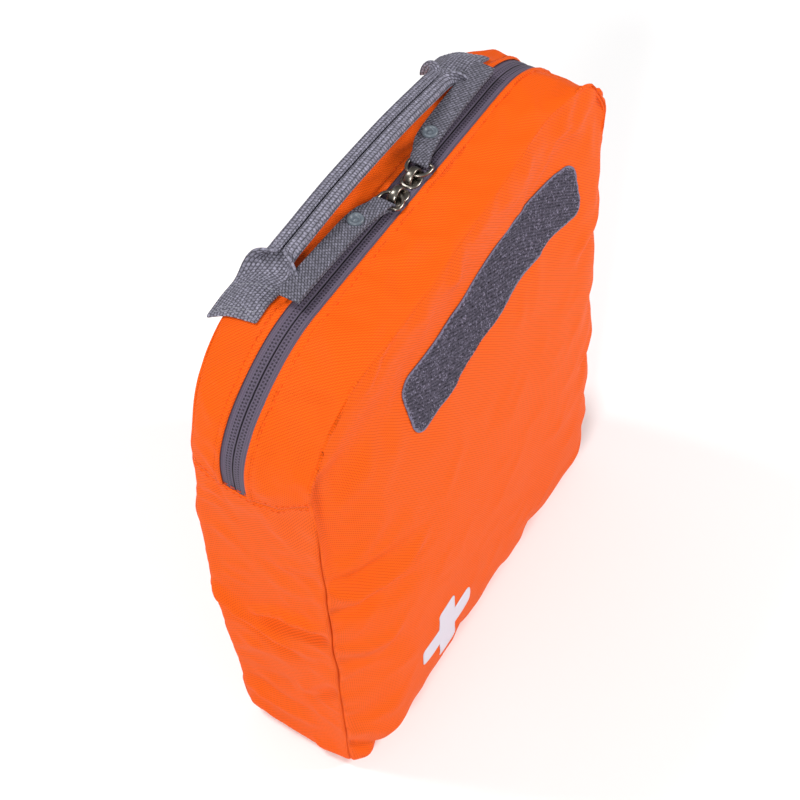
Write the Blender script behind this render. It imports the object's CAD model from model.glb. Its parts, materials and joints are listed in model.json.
"""First aid kit for hiking: an upright orange nylon pouch with a curved zip, a rolled webbing
handle, two webbing pull tabs, a loop patch and its dressings and tools.

Cloth, webbing and soft contents are built here round the CAD frame. Lengths are millimetres;
meshes are scaled to metres when they are made. X runs across the front, -Y is the front, Z is up.
"""

import json
import math

import bmesh
import bpy
import numpy as np
from mathutils import Matrix, Vector
from mathutils.bvhtree import BVHTree
from mathutils.geometry import delaunay_2d_cdt

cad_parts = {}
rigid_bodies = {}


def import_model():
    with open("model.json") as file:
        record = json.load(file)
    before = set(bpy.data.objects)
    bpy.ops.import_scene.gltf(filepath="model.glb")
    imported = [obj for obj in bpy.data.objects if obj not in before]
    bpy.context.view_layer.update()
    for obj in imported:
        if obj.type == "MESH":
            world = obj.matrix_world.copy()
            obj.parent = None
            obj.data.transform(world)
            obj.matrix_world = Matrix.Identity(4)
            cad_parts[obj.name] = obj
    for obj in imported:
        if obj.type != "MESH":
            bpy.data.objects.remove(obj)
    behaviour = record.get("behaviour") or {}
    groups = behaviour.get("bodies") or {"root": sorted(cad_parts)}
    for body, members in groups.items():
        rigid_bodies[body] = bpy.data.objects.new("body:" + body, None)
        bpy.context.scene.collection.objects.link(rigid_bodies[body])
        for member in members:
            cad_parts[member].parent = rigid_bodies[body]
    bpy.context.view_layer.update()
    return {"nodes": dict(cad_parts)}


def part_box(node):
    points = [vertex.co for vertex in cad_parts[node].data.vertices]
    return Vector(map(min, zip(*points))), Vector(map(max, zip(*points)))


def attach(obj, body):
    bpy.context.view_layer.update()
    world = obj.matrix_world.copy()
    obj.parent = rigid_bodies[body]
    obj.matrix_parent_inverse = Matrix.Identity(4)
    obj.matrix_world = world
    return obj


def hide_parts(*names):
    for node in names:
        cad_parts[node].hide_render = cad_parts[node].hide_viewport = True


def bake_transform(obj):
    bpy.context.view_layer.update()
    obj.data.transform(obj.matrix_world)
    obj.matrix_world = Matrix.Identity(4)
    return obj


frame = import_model()

MM = 0.001
UP = np.array([0.0, 0.0, 1.0])
SIDES = ((-1, "left"), (1, "right"))


def cad_box(node):
    """Lowest and highest corner of a CAD node, in millimetres."""
    low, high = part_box(node)
    return np.array(low) / MM, np.array(high) / MM


# ---- sizes shared with the CAD frame ----

CLOTH_T = 1.0
HALF_W = cad_box("back_panel")[1][0]
TOP_Z = cad_box("back_panel")[1][2]
SEAM_BACK = cad_box("back_panel")[1][1]
SEAM_FRONT = cad_box("front_panel")[1][1] - CLOTH_T
CORNER_R = 52.0
BASE_R = 10.0
ZIP_END_Z = cad_box("zip_strip_back")[0][2]
BAND_FRONT = cad_box("zip_strip_front")[1][1]
BAND_BACK = cad_box("zip_strip_back")[0][1]
ZIP_Y = (BAND_FRONT + BAND_BACK) / 2
CENTRE = np.array([0.0, 0.0, TOP_Z / 2])

# ---- camera and studio ----

VIEW_AZIMUTH = -55.464
VIEW_ELEVATION = 54.524
VIEW_ROLL = -2.981
VIEW_DISTANCE = 0.7169
VIEW_AIM = (-0.0033, 0.0055, 0.1593)
VIEW_LENS = 68.37

# area lights: name, place and size in metres, watts
LIGHTS = (
    ("key", (0.9, -1.2, 1.0), 0.3, 19),
    ("fill", (-1.4, -0.4, 1.3), 0.35, 21),
    ("top", (-0.3, 0.9, 1.7), 0.4, 17),
)
LIGHT_AIM = (0, 0, 0.15)
SKY_STRENGTH = 0.33
FLOOR_HALF = 3000


# ==== mesh helpers ====


def mesh_object(name, points, faces, uv=None):
    """An object from points in millimetres. uv gives each point's (u, v), in metres of cloth."""
    mesh = bpy.data.meshes.new(name)
    faces = faces if isinstance(faces, list) else faces.tolist()
    mesh.from_pydata((np.asarray(points, float) * MM).tolist(), [], faces)
    if uv is not None:
        layer = mesh.uv_layers.new(name="UVMap")
        corners = np.zeros(len(mesh.loops), int)
        mesh.loops.foreach_get("vertex_index", corners)
        layer.data.foreach_set("uv", np.asarray(uv, np.float32)[corners].ravel())
    mesh.polygons.foreach_set("use_smooth", [True] * len(mesh.polygons))
    mesh.update()
    obj = bpy.data.objects.new(name, mesh)
    bpy.context.scene.collection.objects.link(obj)
    return obj


def join_meshes(name, parts):
    """One object from (points, faces, uv) parts in millimetres."""
    points, faces, uv = [], [], []
    start = 0
    for part_points, part_faces, part_uv in parts:
        faces += [[start + int(k) for k in face] for face in part_faces]
        start += len(part_points)
        points.append(part_points)
        uv.append(part_uv)
    return mesh_object(name, np.concatenate(points), faces, np.concatenate(uv))


def grid_quads(rows, cols, closed=False):
    """Quads of a grid of rows x cols points numbered row by row; closed joins the last column
    to the first."""
    index = np.arange(rows * cols).reshape(rows, cols)
    right = np.roll(index, -1, axis=1)
    last = cols if closed else cols - 1
    quads = [index[:-1, :last], right[:-1, :last], right[1:, :last], index[1:, :last]]
    return np.stack([q.ravel() for q in quads], axis=1)


def uv_grid(along, across):
    """The (u, v) of a grid of cloth, in metres, from its places along and across."""
    return np.stack(np.meshgrid(along, across, indexing="ij"), axis=2) * MM


def grid_object(name, grid, uv):
    """An open sheet from a grid of points."""
    return mesh_object(name, grid.reshape(-1, 3), grid_quads(*grid.shape[:2]), uv.reshape(-1, 2))


def grid_normals(grid):
    """Unit normals of a grid of points, on the side away from the middle of the case."""
    normal = np.cross(np.gradient(grid, axis=0), np.gradient(grid, axis=1))
    normal /= np.linalg.norm(normal, axis=2, keepdims=True) + 1e-12
    if ((grid - CENTRE) * normal).sum() < 0:
        normal = -normal
    return normal


def face_out(obj):
    """Turns an open mesh's faces so that they look away from the middle of the case."""
    mesh = obj.data
    middle = np.zeros(len(mesh.polygons) * 3)
    normal = np.zeros(len(mesh.polygons) * 3)
    mesh.polygons.foreach_get("center", middle)
    mesh.polygons.foreach_get("normal", normal)
    away = (middle.reshape(-1, 3) / MM - CENTRE) * normal.reshape(-1, 3)
    if away.sum() < 0:
        mesh.flip_normals()
    return obj


def apply_modifiers(obj):
    """Puts what the modifiers make into the object's own mesh."""
    depsgraph = bpy.context.evaluated_depsgraph_get()
    mesh = bpy.data.meshes.new_from_object(obj.evaluated_get(depsgraph))
    obj.modifiers.clear()
    obj.data = mesh
    return obj


def subdivide(obj):
    modifier = obj.modifiers.new("subdivide", "SUBSURF")
    modifier.levels = modifier.render_levels = 1
    modifier.boundary_smooth = "PRESERVE_CORNERS"
    return obj


def thicken(obj, thickness, offset=-1.0):
    modifier = obj.modifiers.new("thicken", "SOLIDIFY")
    modifier.thickness = thickness * MM
    modifier.offset = offset
    modifier.use_even_offset = False
    return obj


def cloth_grid(name, grid, uv, thickness=CLOTH_T):
    """A sheet of cloth with real thickness from a grid of points, smoothed and faced outwards."""
    obj = grid_object(name, grid, uv)
    face_out(obj)
    subdivide(obj)
    thicken(obj, thickness)
    return apply_modifiers(obj)


def tangents(path):
    step = np.gradient(path, axis=0)
    return step / (np.linalg.norm(step, axis=1, keepdims=True) + 1e-12)


def length_along(path):
    return np.concatenate([[0], np.cumsum(np.linalg.norm(np.diff(path, axis=0), axis=1))])


def read_at(at, along, values):
    """Rows of values known at places along, read at other places."""
    return np.stack([np.interp(at, along, column) for column in values.T], axis=1)


def resample(path, step, *others):
    """Points at even steps along a path, with other values given at the path's points."""
    along = length_along(path)
    count = max(2, int(round(along[-1] / step)) + 1)
    at = np.linspace(0, along[-1], count)
    return [read_at(at, along, values) for values in (path, *others)]


def smooth_curve(knots, count):
    """A Catmull-Rom curve through the knots."""
    knots = np.asarray(knots, float)
    ext = np.concatenate([2 * knots[:1] - knots[1:2], knots, 2 * knots[-1:] - knots[-2:-1]])
    at = np.linspace(0, len(knots) - 1, count)
    i = np.minimum(at.astype(int), len(knots) - 2)
    t = (at - i)[:, None]
    a, b, c, d = ext[i], ext[i + 1], ext[i + 2], ext[i + 3]
    return 0.5 * (
        2 * b + (c - a) * t + (2 * a - 5 * b + 4 * c - d) * t**2
        + (3 * b - a - 3 * c + d) * t**3
    )


def profile_value(knots, at):
    """A smooth curve through (position, value) knots, read at the given positions."""
    curve = smooth_curve(knots, 40 * len(knots))
    order = np.argsort(curve[:, 0])
    return np.interp(at, curve[order, 0], curve[order, 1])


def smoothstep(value, start, end):
    t = np.clip((value - start) / (end - start), 0, 1)
    return t * t * (3 - 2 * t)


def ring_faces(rows, count, closed=False):
    """Faces over rows of rings of count points. closed joins the last ring to the first, and
    otherwise both ends are capped."""
    if closed:
        return (grid_quads(rows + 1, count, closed=True) % (rows * count)).tolist()
    last = (rows - 1) * count
    caps = [list(range(count)), list(range(last + count - 1, last - 1, -1))]
    return grid_quads(rows, count, closed=True).tolist() + caps


def sweep(path, section, side, over, closed=False):
    """(points, faces, uv) of a closed section swept along a path. side and over are the
    section's two directions at each point of the path."""
    points = (
        path[:, None] + section[None, :, :1] * side[:, None] + section[None, :, 1:] * over[:, None]
    )
    faces = ring_faces(len(path), len(section), closed)
    around = length_along(np.concatenate([section, section[:1]]))[:-1]
    return points.reshape(-1, 3), faces, uv_grid(length_along(path), around).reshape(-1, 2)


def tube(path, radius, sides, closed=False):
    """(points, faces, uv) of a round wire along a path."""
    along = tangents(path)
    if closed:
        along = np.roll(path, -1, axis=0) - np.roll(path, 1, axis=0)
        along /= np.linalg.norm(along, axis=1, keepdims=True)
    side = np.cross(along, UP)
    side /= np.linalg.norm(side, axis=1, keepdims=True)
    angle = np.linspace(0, 2 * math.pi, sides, endpoint=False)
    section = radius * np.stack([np.cos(angle), np.sin(angle)], axis=1)
    points, faces, _ = sweep(path, section, side, np.cross(side, along), closed)
    return points, faces, uv_grid(length_along(path), angle * radius).reshape(-1, 2)


def loft(outlines):
    """(points, faces, uv) through closed outlines of equal point counts, capped at both ends."""
    points = np.concatenate(outlines)
    return points, ring_faces(len(outlines), len(outlines[0])), points[:, :2] * MM


def prism(section, levels):
    """(points, faces, uv) of a flat section lofted straight up through levels."""
    return loft([np.insert(section, 2, z, axis=1) for z in levels])


def lathe(profile, middle, sides=40):
    """(points, faces, uv) of a shape turned about a vertical axis. profile is (radius, height)."""
    radius, height = np.asarray(profile, float).T
    angle = np.linspace(0, 2 * math.pi, sides, endpoint=False)
    points = np.stack([
        radius[:, None] * np.cos(angle), radius[:, None] * np.sin(angle),
        np.broadcast_to(height[:, None], (len(radius), sides)),
    ], axis=2).reshape(-1, 3) + middle
    faces = grid_quads(len(radius), sides, closed=True)
    return points, faces, np.zeros((len(points), 2))


def rounded_section(width, height, corner, steps=4):
    """Outline of a rectangle with rounded corners, round its middle."""
    points = []
    for sx, sy, start in ((1, 1, 0), (-1, 1, 90), (-1, -1, 180), (1, -1, 270)):
        for angle in np.radians(np.linspace(start, start + 90, steps)):
            points.append((
                sx * (width / 2 - corner) + corner * math.cos(angle),
                sy * (height / 2 - corner) + corner * math.sin(angle),
            ))
    return np.array(points)


def grid_rim(rows, cols):
    """Numbers of the points round the edge of a grid, in order."""
    return np.concatenate([
        np.arange(cols), np.arange(1, rows) * cols + cols - 1,
        (rows - 1) * cols + np.arange(cols - 2, -1, -1), np.arange(rows - 2, 0, -1) * cols,
    ])


def closed_sheet(front, back, uv):
    """(points, faces, uv) of the solid between two grids of points with the same rows and
    columns. Its walls are the last of its faces."""
    rows, cols = front.shape[:2]
    count = rows * cols
    faces = grid_quads(rows, cols)
    rim = grid_rim(rows, cols)
    turned = np.roll(rim, -1)
    walls = np.stack([rim, turned, turned + count, rim + count], axis=1)
    faces = np.concatenate([faces, faces[:, ::-1] + count, walls])
    points = np.concatenate([front.reshape(-1, 3), back.reshape(-1, 3)])
    uv = uv.reshape(-1, 2)
    return points, faces, np.concatenate([uv, uv])


def recalculate(obj):
    """Faces outwards on closed solids."""
    mesh = bmesh.new()
    mesh.from_mesh(obj.data)
    bmesh.ops.remove_doubles(mesh, verts=mesh.verts, dist=1e-7)
    bmesh.ops.recalc_face_normals(mesh, faces=mesh.faces)
    mesh.to_mesh(obj.data)
    mesh.free()
    return obj


# ==== the sewn shell: outline, crowned gusset, bulging panels ====

# rows of the gusset from the front seam to the back seam; the middle ones are under the zip band
ROWS_FRONT = [-31, -29.6, -27.4, -24.6, -21.6, -18.6, -15.6, -12.8, -10.6, -8.8, -7.2, -5.6, -4]
ROWS_BAND = [-2, 0, 2, 4, 6]
ROWS_BACK = [8, 9.5, 11, 12.6, 15, 18, 21, 24, 27, 29.6, 31]
ROWS = np.array(ROWS_FRONT + ROWS_BAND + ROWS_BACK, float)
STITCH_FRONT = ROWS_FRONT.index(-7.2)
EDGE_FRONT = len(ROWS_FRONT) - 1
EDGE_BACK = EDGE_FRONT + len(ROWS_BAND) + 1
STITCH_BACK = EDGE_BACK + 2

COLS_ACROSS = 66
COLS_BELOW_ZIP = 70
COLS_ABOVE_ZIP = 16
FINE_STEP = 1.4

# how much lower than its middle the crowned gusset is at its seams
CROWN_TOP = 6.0
CROWN_SIDE = 1.8
CROWN_BASE = 1.2

# belly of the front panel: (height, how far it stands proud of the seam)
BELLY = [(-10, 12.5), (20, 13.8), (60, 14.4), (110, 14.2), (150, 12.8), (190, 9.6), (210, 7.6),
         (222, 5.8), (232, 3.9), (246, 0.0), (260, -3.4), (278, -3.4), (296, -1.0), (310, 0)]
BELLY_RISE = [(0, 8), (60, 10), (150, 14), (230, 22), (300, 18)]

# how far the front seam wanders along the top, from left to right
SEAM_SWAY = [(-130, 2.4), (-111, 2.2), (-85, 0.3), (-58, -1.0), (-20, 0.6), (20, 2.6), (68, 5.0),
             (84, 3.6), (101, 1.8), (130, 1.0)]

# the curved seam below the zip: (y, height relative to the zip's end)
ZIP_END_CURVE = [(-34, 17), (-29, 14), (-24, 9.5), (-17, 3.5), (-9, 0), (-2, -0.5), (11, 0.8),
                 (22, 2.2), (31, 3.6), (34, 4)]

# how far the back seam leans forward at the upper corners, and the zip lies back at its ends
BACK_LEAN = [(-10, 0), (80, 0.8), (140, 2.0), (190, 2.4), (206, 1.0), (225, -1.4), (245, -3.4),
             (262, -4.4), (280, -3.4), (296, -0.8), (320, 0)]
ZIP_LEAN = [(-10, 0), (180, 0.5), (215, 2.6), (238, 4.0), (255, 3.4), (275, 1.6), (292, 0.2),
            (320, 0)]

# folds in the cloth: (height, half width, points along the fold)
FOLD_GAIN = 1.5
SIDE_FOLDS_LEFT = [
    (2.6, 3.8, [(34, 136), (20, 121), (3, 113.5), (-12, 113)]),
    (2.8, 3.2, [(12, 130), (-4, 141), (-20, 146), (-30, 155)]),
    (-3.0, 4.4, [(6, 124), (-10, 128), (-20, 134), (-29, 142)]),
    (-1.6, 4.0, [(30, 122), (16, 108), (0, 103), (-14, 103)]),
    (1.5, 4.0, [(-10, 72), (-20, 88), (-29, 104)]),
    (-1.7, 4.5, [(-12, 62), (-22, 78), (-29, 90)]),
    (-1.1, 7.0, [(10, 60), (-2, 66)]),
    (0.9, 6.0, [(24, 84), (6, 92), (-6, 88)]),
    (-0.8, 5.0, [(-27, 190), (-10, 182), (6, 186)]),
    (0.8, 5.0, [(-29, 176), (-14, 170), (2, 172)]),
    (1.3, 4.0, [(28, 34), (8, 27), (-14, 31)]),
    (-1.2, 5.0, [(22, 44), (2, 40), (-12, 46)]),
]
SIDE_FOLDS_RIGHT = [
    (1.8, 5.0, [(-29, 170), (-12, 156), (6, 150), (20, 152)]),
    (-2.0, 5.5, [(-29, 158), (-14, 144), (4, 138)]),
    (1.5, 4.5, [(30, 104), (14, 92), (-6, 90)]),
    (-1.3, 5.0, [(26, 92), (8, 80), (-8, 80)]),
    (1.2, 4.5, [(-28, 66), (-12, 54), (8, 52)]),
    (-1.0, 5.0, [(-20, 208), (0, 200), (18, 204)]),
    (1.1, 4.0, [(26, 30), (6, 24), (-12, 28)]),
]
FRONT_FOLDS = [
    (-3.2, 6.5, [(-116, 262), (-114, 240), (-111, 212), (-109, 186)]),
    (-2.6, 9.0, [(-103, 256), (-103, 230), (-101, 204), (-99, 182)]),
    (-2.6, 5.0, [(-118, 190), (-104, 181), (-84, 178)]),
    (3.2, 4.2, [(-119, 186), (-103, 171), (-80, 165), (-62, 166)]),
    (-2.6, 4.0, [(-118, 168), (-106, 158), (-92, 154)]),
    (1.3, 4.0, [(-119, 178), (-106, 164)]),
    (-2.0, 4.0, [(-119, 126), (-108, 112), (-96, 106)]),
    (1.8, 3.8, [(-119, 134), (-104, 121), (-88, 117)]),
    (-3.6, 4.2, [(-119, 34), (-110, 19), (-100, 10), (-88, 7)]),
    (1.4, 4.5, [(-112, 42), (-100, 27), (-84, 19)]),
    (-1.6, 5.0, [(119, 120), (106, 108), (92, 106)]),
    (1.4, 4.5, [(119, 132), (104, 120), (88, 117)]),
    (-1.5, 5.0, [(118, 200), (102, 192), (84, 193)]),
    (1.2, 5.0, [(118, 212), (100, 204), (80, 206)]),
    (-2.6, 4.2, [(119, 36), (110, 20), (98, 12)]),
    (-1.2, 4.0, [(96, 296), (92, 284), (84, 274)]),
    (1.0, 4.0, [(86, 296), (82, 286), (74, 278)]),
    (-1.0, 5.0, [(-40, 6), (-34, 16), (-30, 28)]),
    (-1.0, 5.0, [(38, 6), (42, 18), (40, 30)]),
]


def outline_stations():
    """The outline of the case seen from the front, clockwise from the middle of the bottom left
    corner: arrays of distance, x, z and outward normal."""
    top_x = HALF_W - CORNER_R
    base_x = HALF_W - BASE_R
    corners = [
        (-base_x, BASE_R, BASE_R, 225, 180),
        (-top_x, TOP_Z - CORNER_R, CORNER_R, 180, 90),
        (top_x, TOP_Z - CORNER_R, CORNER_R, 90, 0),
        (base_x, BASE_R, BASE_R, 0, -90),
        (-base_x, BASE_R, BASE_R, 270, 225),
    ]
    points = []
    normals = []
    for x, z, radius, start, end in corners:
        angle = np.radians(np.linspace(start, end, 91))
        normal = np.stack([np.cos(angle), np.sin(angle)], axis=1)
        points.append(np.array([x, z]) + radius * normal)
        normals.append(normal)
    points = np.concatenate(points)
    return length_along(points), points, np.concatenate(normals)


def eased_steps(start, end, count, fine_start, fine_end):
    """Positions from start to end in count steps, with one fine step at the ends that ask."""
    inner_start = start + FINE_STEP if fine_start else start
    inner_end = end - FINE_STEP if fine_end else end
    inner = np.linspace(inner_start, inner_end, count + 1 - fine_start - fine_end)
    steps = ([start] if fine_start else []) + inner.tolist() + ([end] if fine_end else [])
    return np.array(steps)


def shell_columns():
    """Distances along the outline of the gusset's columns, and the corners' column numbers."""
    total = outline_stations()[0][-1]
    eighth_base = math.pi / 4 * BASE_R
    eighth_top = math.pi / 4 * CORNER_R
    side = TOP_Z - CORNER_R - BASE_R
    left_end = eighth_base + side + eighth_top
    across = 2 * (HALF_W - CORNER_R) + 2 * eighth_top
    zip_end = eighth_base + ZIP_END_Z - BASE_R
    up = np.concatenate([
        eased_steps(0, zip_end, COLS_BELOW_ZIP, True, False)[:-1],
        eased_steps(zip_end, left_end, COLS_ABOVE_ZIP, False, True)[:-1],
    ])
    top = eased_steps(left_end, left_end + across, COLS_ACROSS, True, True)[:-1]
    down = left_end + across + left_end - np.append(up, left_end)[::-1][:-1]
    base = eased_steps(left_end * 2 + across, total, COLS_ACROSS, True, True)[:-1]
    return np.concatenate([up, top, down, base])


COLS_SIDE = COLS_BELOW_ZIP + COLS_ABOVE_ZIP
COL_TOP_LEFT = COLS_SIDE
COL_TOP_RIGHT = COLS_SIDE + COLS_ACROSS
COL_BASE_RIGHT = 2 * COLS_SIDE + COLS_ACROSS
COLS_ALL = 2 * (COLS_SIDE + COLS_ACROSS)
COL_ZIP_LEFT = COLS_BELOW_ZIP
COL_ZIP_RIGHT = COL_BASE_RIGHT - COLS_BELOW_ZIP


def fold_height(folds, points):
    """Height of a set of folds at 2D points: a rounded ridge or valley along each fold's line
    that fades towards its ends."""
    total = np.zeros(len(points))
    for height, width, line in folds:
        line = smooth_curve(line, 40)
        along = length_along(line)
        gap = np.linalg.norm(points[:, None] - line[None], axis=2)
        nearest = gap.argmin(axis=1)
        share = along[nearest] / along[-1]
        fade = smoothstep(np.minimum(share + 0.25, 1.08 - share), 0, 0.35)
        profile = np.exp(-((gap.min(axis=1) / (0.8 * width)) ** 2))
        total += FOLD_GAIN * height * profile * fade
    return total


def waves(at, seed, wavelengths):
    """A sum of sines with fixed phases, about -1 to 1."""
    phases = np.random.default_rng(seed).uniform(0, 2 * math.pi, len(wavelengths))
    return sum(
        np.sin(2 * math.pi * at / w + p) for w, p in zip(wavelengths, phases)
    ) / len(wavelengths)


def creases(u, v, seed, count=7, spread=60.0):
    """Short sharp creases in soft cloth, 0 to about 1: thin ridges that come and go."""
    random = np.random.default_rng(seed)
    total = np.zeros(u.shape)
    for _ in range(count):
        angle, phase, other, wave = random.uniform(0, 2 * math.pi, 4)
        across = u * math.cos(angle) + v * math.sin(angle)
        along = v * math.cos(angle) - u * math.sin(angle)
        bend = 0.12 * spread * np.sin(2 * math.pi * along / spread + wave)
        ridge = 1 - np.abs(np.sin(math.pi * (across + bend) / spread + phase))
        present = np.clip(np.sin(2 * math.pi * along / (0.9 * spread) + other), 0, 1)
        total += ridge**5 * present
    return total


# the front seam's crown is tucked up at the top right corner: (before the corner, width, height)
TUCK = (7, 24, 2.0)

# how far the gusset's edges wander out and along Y, and the height of its creases
WANDER_OUT = 0.5
WANDER_Y = 0.4
GUSSET_CREASES = 1.5

# where the back seam stands out: height, reach, distance
BACK_BULGE = (118, 62, 1.8)

# how far from the zip's ends their curved seam bends the columns
ZIP_END_REACH = 26


def gusset_grid():
    """Points of the whole gusset, [row, column], before the cloth settles."""
    station, outline, normals = outline_stations()
    at = shell_columns()
    x, z = read_at(at, station, outline).T
    normal = read_at(at, station, normals)
    normal /= np.linalg.norm(normal, axis=1, keepdims=True)
    up = np.clip(normal[:, 1], 0, 1)
    down = np.clip(-normal[:, 1], 0, 1)
    crown = CROWN_SIDE + (CROWN_TOP - CROWN_SIDE) * up**1.5 + (CROWN_BASE - CROWN_SIDE) * down
    grid = np.zeros((len(ROWS), COLS_ALL, 3))
    tuck_before, tuck_wide, tuck_high = TUCK
    for r, y in enumerate(ROWS):
        ahead = y < ZIP_Y
        edge, seam = (BAND_FRONT, SEAM_FRONT) if ahead else (BAND_BACK, SEAM_BACK)
        reach = np.clip((y - edge) / (seam - edge), 0, 1)
        out = -crown * (0.25 * reach + 0.75 * reach**2)
        tuck = np.exp(-(((at - at[COL_TOP_RIGHT] + tuck_before) / tuck_wide) ** 2))
        tuck = tuck * (reach**2 if ahead else 0)
        out = out * (1 - 0.85 * tuck) + tuck_high * tuck
        sway = profile_value(SEAM_SWAY, x) * up**2 * (reach if ahead else 0)
        wander = WANDER_OUT * waves(at, 3 if ahead else 4, (63, 41, 97)) * reach**2 * (1 - down)
        grid[r, :, 0] = x + normal[:, 0] * (out + wander)
        grid[r, :, 2] = z + normal[:, 1] * (out + wander)
        grid[r, :, 1] = y + sway + WANDER_Y * waves(at, 5, (53, 37)) * reach**2
        sides = np.clip(2.0 * np.abs(normal[:, 0]), 0, 1)
        if y > ZIP_Y:
            lean = profile_value(BACK_LEAN, z)
            grid[r, :, 1] += sides * reach * lean
            grid[r, :, 0] -= normal[:, 0] * reach**2 * 0.35 * np.maximum(-lean, 0)
        grid[r, :, 1] += sides * (1 - reach**2) * profile_value(ZIP_LEAN, z)
        middle = np.clip(4 * reach * (1 - reach), 0, 1)
        crushed = creases(at, np.full(len(at), 1.0 * y), 22, spread=44.0)
        crushed = GUSSET_CREASES * crushed * middle * (1 - down)
        grid[r, :, 0] += normal[:, 0] * crushed
        grid[r, :, 2] += normal[:, 1] * crushed
        # the curved seam below the zip
        sides = np.abs(normal[:, 0]) > 0.3
        drop = profile_value(ZIP_END_CURVE, y)
        near = np.exp(-(((z - ZIP_END_Z) / ZIP_END_REACH) ** 2)) * sides
        grid[r, :, 2] += drop * near
        # folds in the side walls
        for sign, folds in ((-1, SIDE_FOLDS_LEFT), (1, SIDE_FOLDS_RIGHT)):
            wall = np.where(sign * normal[:, 0] > 0.2)[0]
            height = fold_height(folds, grid[r, wall][:, [1, 2]])
            grid[r, wall, 0] += sign * height * np.clip(1.6 - 1.4 * reach**6, 0.35, 1)
    # the back seam stands out a little at mid height
    height, reach, distance = BACK_BULGE
    low = np.exp(-(((grid[..., 2] - height) / reach) ** 2))
    low *= np.clip((grid[..., 1] - 12) / 19, 0, 1) * (np.abs(normal[:, 0]) > 0.5)
    grid[..., 0] += np.sign(grid[..., 0]) * distance * low
    grid[..., 1] += distance * low
    return grid


def coons(edge):
    """Fills the closed loop of points along a seam, given clockwise from the bottom left corner,
    with a grid of points: [row from base to top, column from left to right]."""
    left = edge[: COLS_SIDE + 1]
    top = edge[COL_TOP_LEFT : COL_TOP_RIGHT + 1]
    right = edge[COL_TOP_RIGHT : COL_BASE_RIGHT + 1][::-1]
    base = np.concatenate([edge[COL_BASE_RIGHT:], edge[:1]])[::-1]
    v = (length_along(left) / length_along(left)[-1])[:, None, None]
    u = (length_along(top) / length_along(top)[-1])[None, :, None]
    ruled_v = (1 - v) * base[None] + v * top[None]
    ruled_u = (1 - u) * left[:, None] + u * right[:, None]
    corners = (
        (1 - u) * (1 - v) * base[0] + u * (1 - v) * base[-1]
        + (1 - u) * v * top[0] + u * v * top[-1]
    )
    return ruled_v + ruled_u - corners


def seam_distance(grid, edge):
    """Distance of each point of a panel from its seam, seen from the front."""
    flat = grid.reshape(-1, 3)[:, [0, 2]]
    gap = np.linalg.norm(flat[:, None] - edge[None, :, [0, 2]], axis=2).min(axis=1)
    return gap.reshape(grid.shape[:2])


# heights of the broad waves and creases of the front panel, and of the puckers at the seams
FRONT_BROAD = 0.8
FRONT_CREASES = 2.0
PUCKERS = 0.6


def seam_puckers(x, z, gap, seed, wavelengths, reach):
    """Height of the short puckers where the cloth is gathered into the seam."""
    round_seam = np.arctan2((z - TOP_Z / 2) / 1.25, x) * 110
    pucker = waves(round_seam, seed, wavelengths) * np.exp(-gap / reach)
    return PUCKERS * pucker * np.clip(gap / 4, 0, 1)


def front_grid(edge):
    grid = coons(edge)
    gap = seam_distance(grid, edge)
    x, z = grid[..., 0], grid[..., 2]
    rise = profile_value(BELLY_RISE, z.ravel()).reshape(z.shape)
    belly = profile_value(BELLY, z.ravel()).reshape(z.shape)
    flat = grid.reshape(-1, 3)[:, [0, 2]]
    folds = fold_height(FRONT_FOLDS, flat).reshape(z.shape)
    pucker = seam_puckers(x, z, gap, 8, (13.0, 17.5, 23.0), 9)
    broad = waves(x + 0.3 * z, 9, (150, 95)) * waves(z - 0.2 * x, 10, (170, 120))
    near_edges = 0.25 + 0.75 * np.exp(-gap / 30) + 0.5 * smoothstep(z, 190, 250)
    crushed = FRONT_CREASES * creases(x, z, 21) * near_edges
    full = 1 - np.exp(-gap / rise)
    grid[..., 1] -= full * (belly + FRONT_BROAD * broad) + smoothstep(gap, 0, 5) * folds
    grid[..., 1] -= pucker + crushed * smoothstep(gap, 1, 10)
    return grid


def back_grid(edge):
    """Points of the back panel, nearly flat over its stiffener."""
    grid = coons(edge)
    gap = seam_distance(grid, edge)
    x, z = grid[..., 0], grid[..., 2]
    broad = waves(x + 0.2 * z, 12, (140, 90)) * waves(z - 0.3 * x, 13, (160, 110))
    crease = waves(x + 0.9 * z, 14, (47, 71)) * waves(z, 15, (130, 90))
    grid[..., 1] = SEAM_BACK + (grid[..., 1] - SEAM_BACK) * np.exp(-gap / 7)
    grid[..., 1] += (1 - np.exp(-gap / 14)) * (1.3 + 1.0 * broad + 0.45 * crease)
    grid[..., 1] += seam_puckers(x, z, gap, 11, (14.0, 19.0, 27.0), 10)
    return grid


def panel_ids(row_start, next_id):
    """Point numbers of a panel that shares the gusset's edge row, and of its inner points."""
    ids = np.zeros((COLS_SIDE + 1, COLS_ACROSS + 1), int)
    ids[:, 0] = row_start + np.arange(COLS_SIDE + 1)
    ids[-1, :] = row_start + COL_TOP_LEFT + np.arange(COLS_ACROSS + 1)
    ids[::-1, -1] = row_start + COL_TOP_RIGHT + np.arange(COLS_SIDE + 1)
    ids[0, ::-1] = row_start + (COL_BASE_RIGHT + np.arange(COLS_ACROSS + 1)) % COLS_ALL
    inner = np.arange((COLS_SIDE - 1) * (COLS_ACROSS - 1)) + next_id
    ids[1:-1, 1:-1] = inner.reshape(COLS_SIDE - 1, COLS_ACROSS - 1)
    return ids


SIM_FRAMES = 20
SIM_CAP = 2.2
CLOTH_SETTINGS = {
    "quality": 6,
    "mass": 0.02,
    "tension_stiffness": 20,
    "compression_stiffness": 20,
    "shear_stiffness": 8,
    "bending_stiffness": 3.0,
    "use_pressure": True,
    "uniform_pressure_force": 3.0,
    "vertex_group_mass": "held",
    "pin_stiffness": 1.0,
    "shrink_min": -0.014,
}

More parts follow.
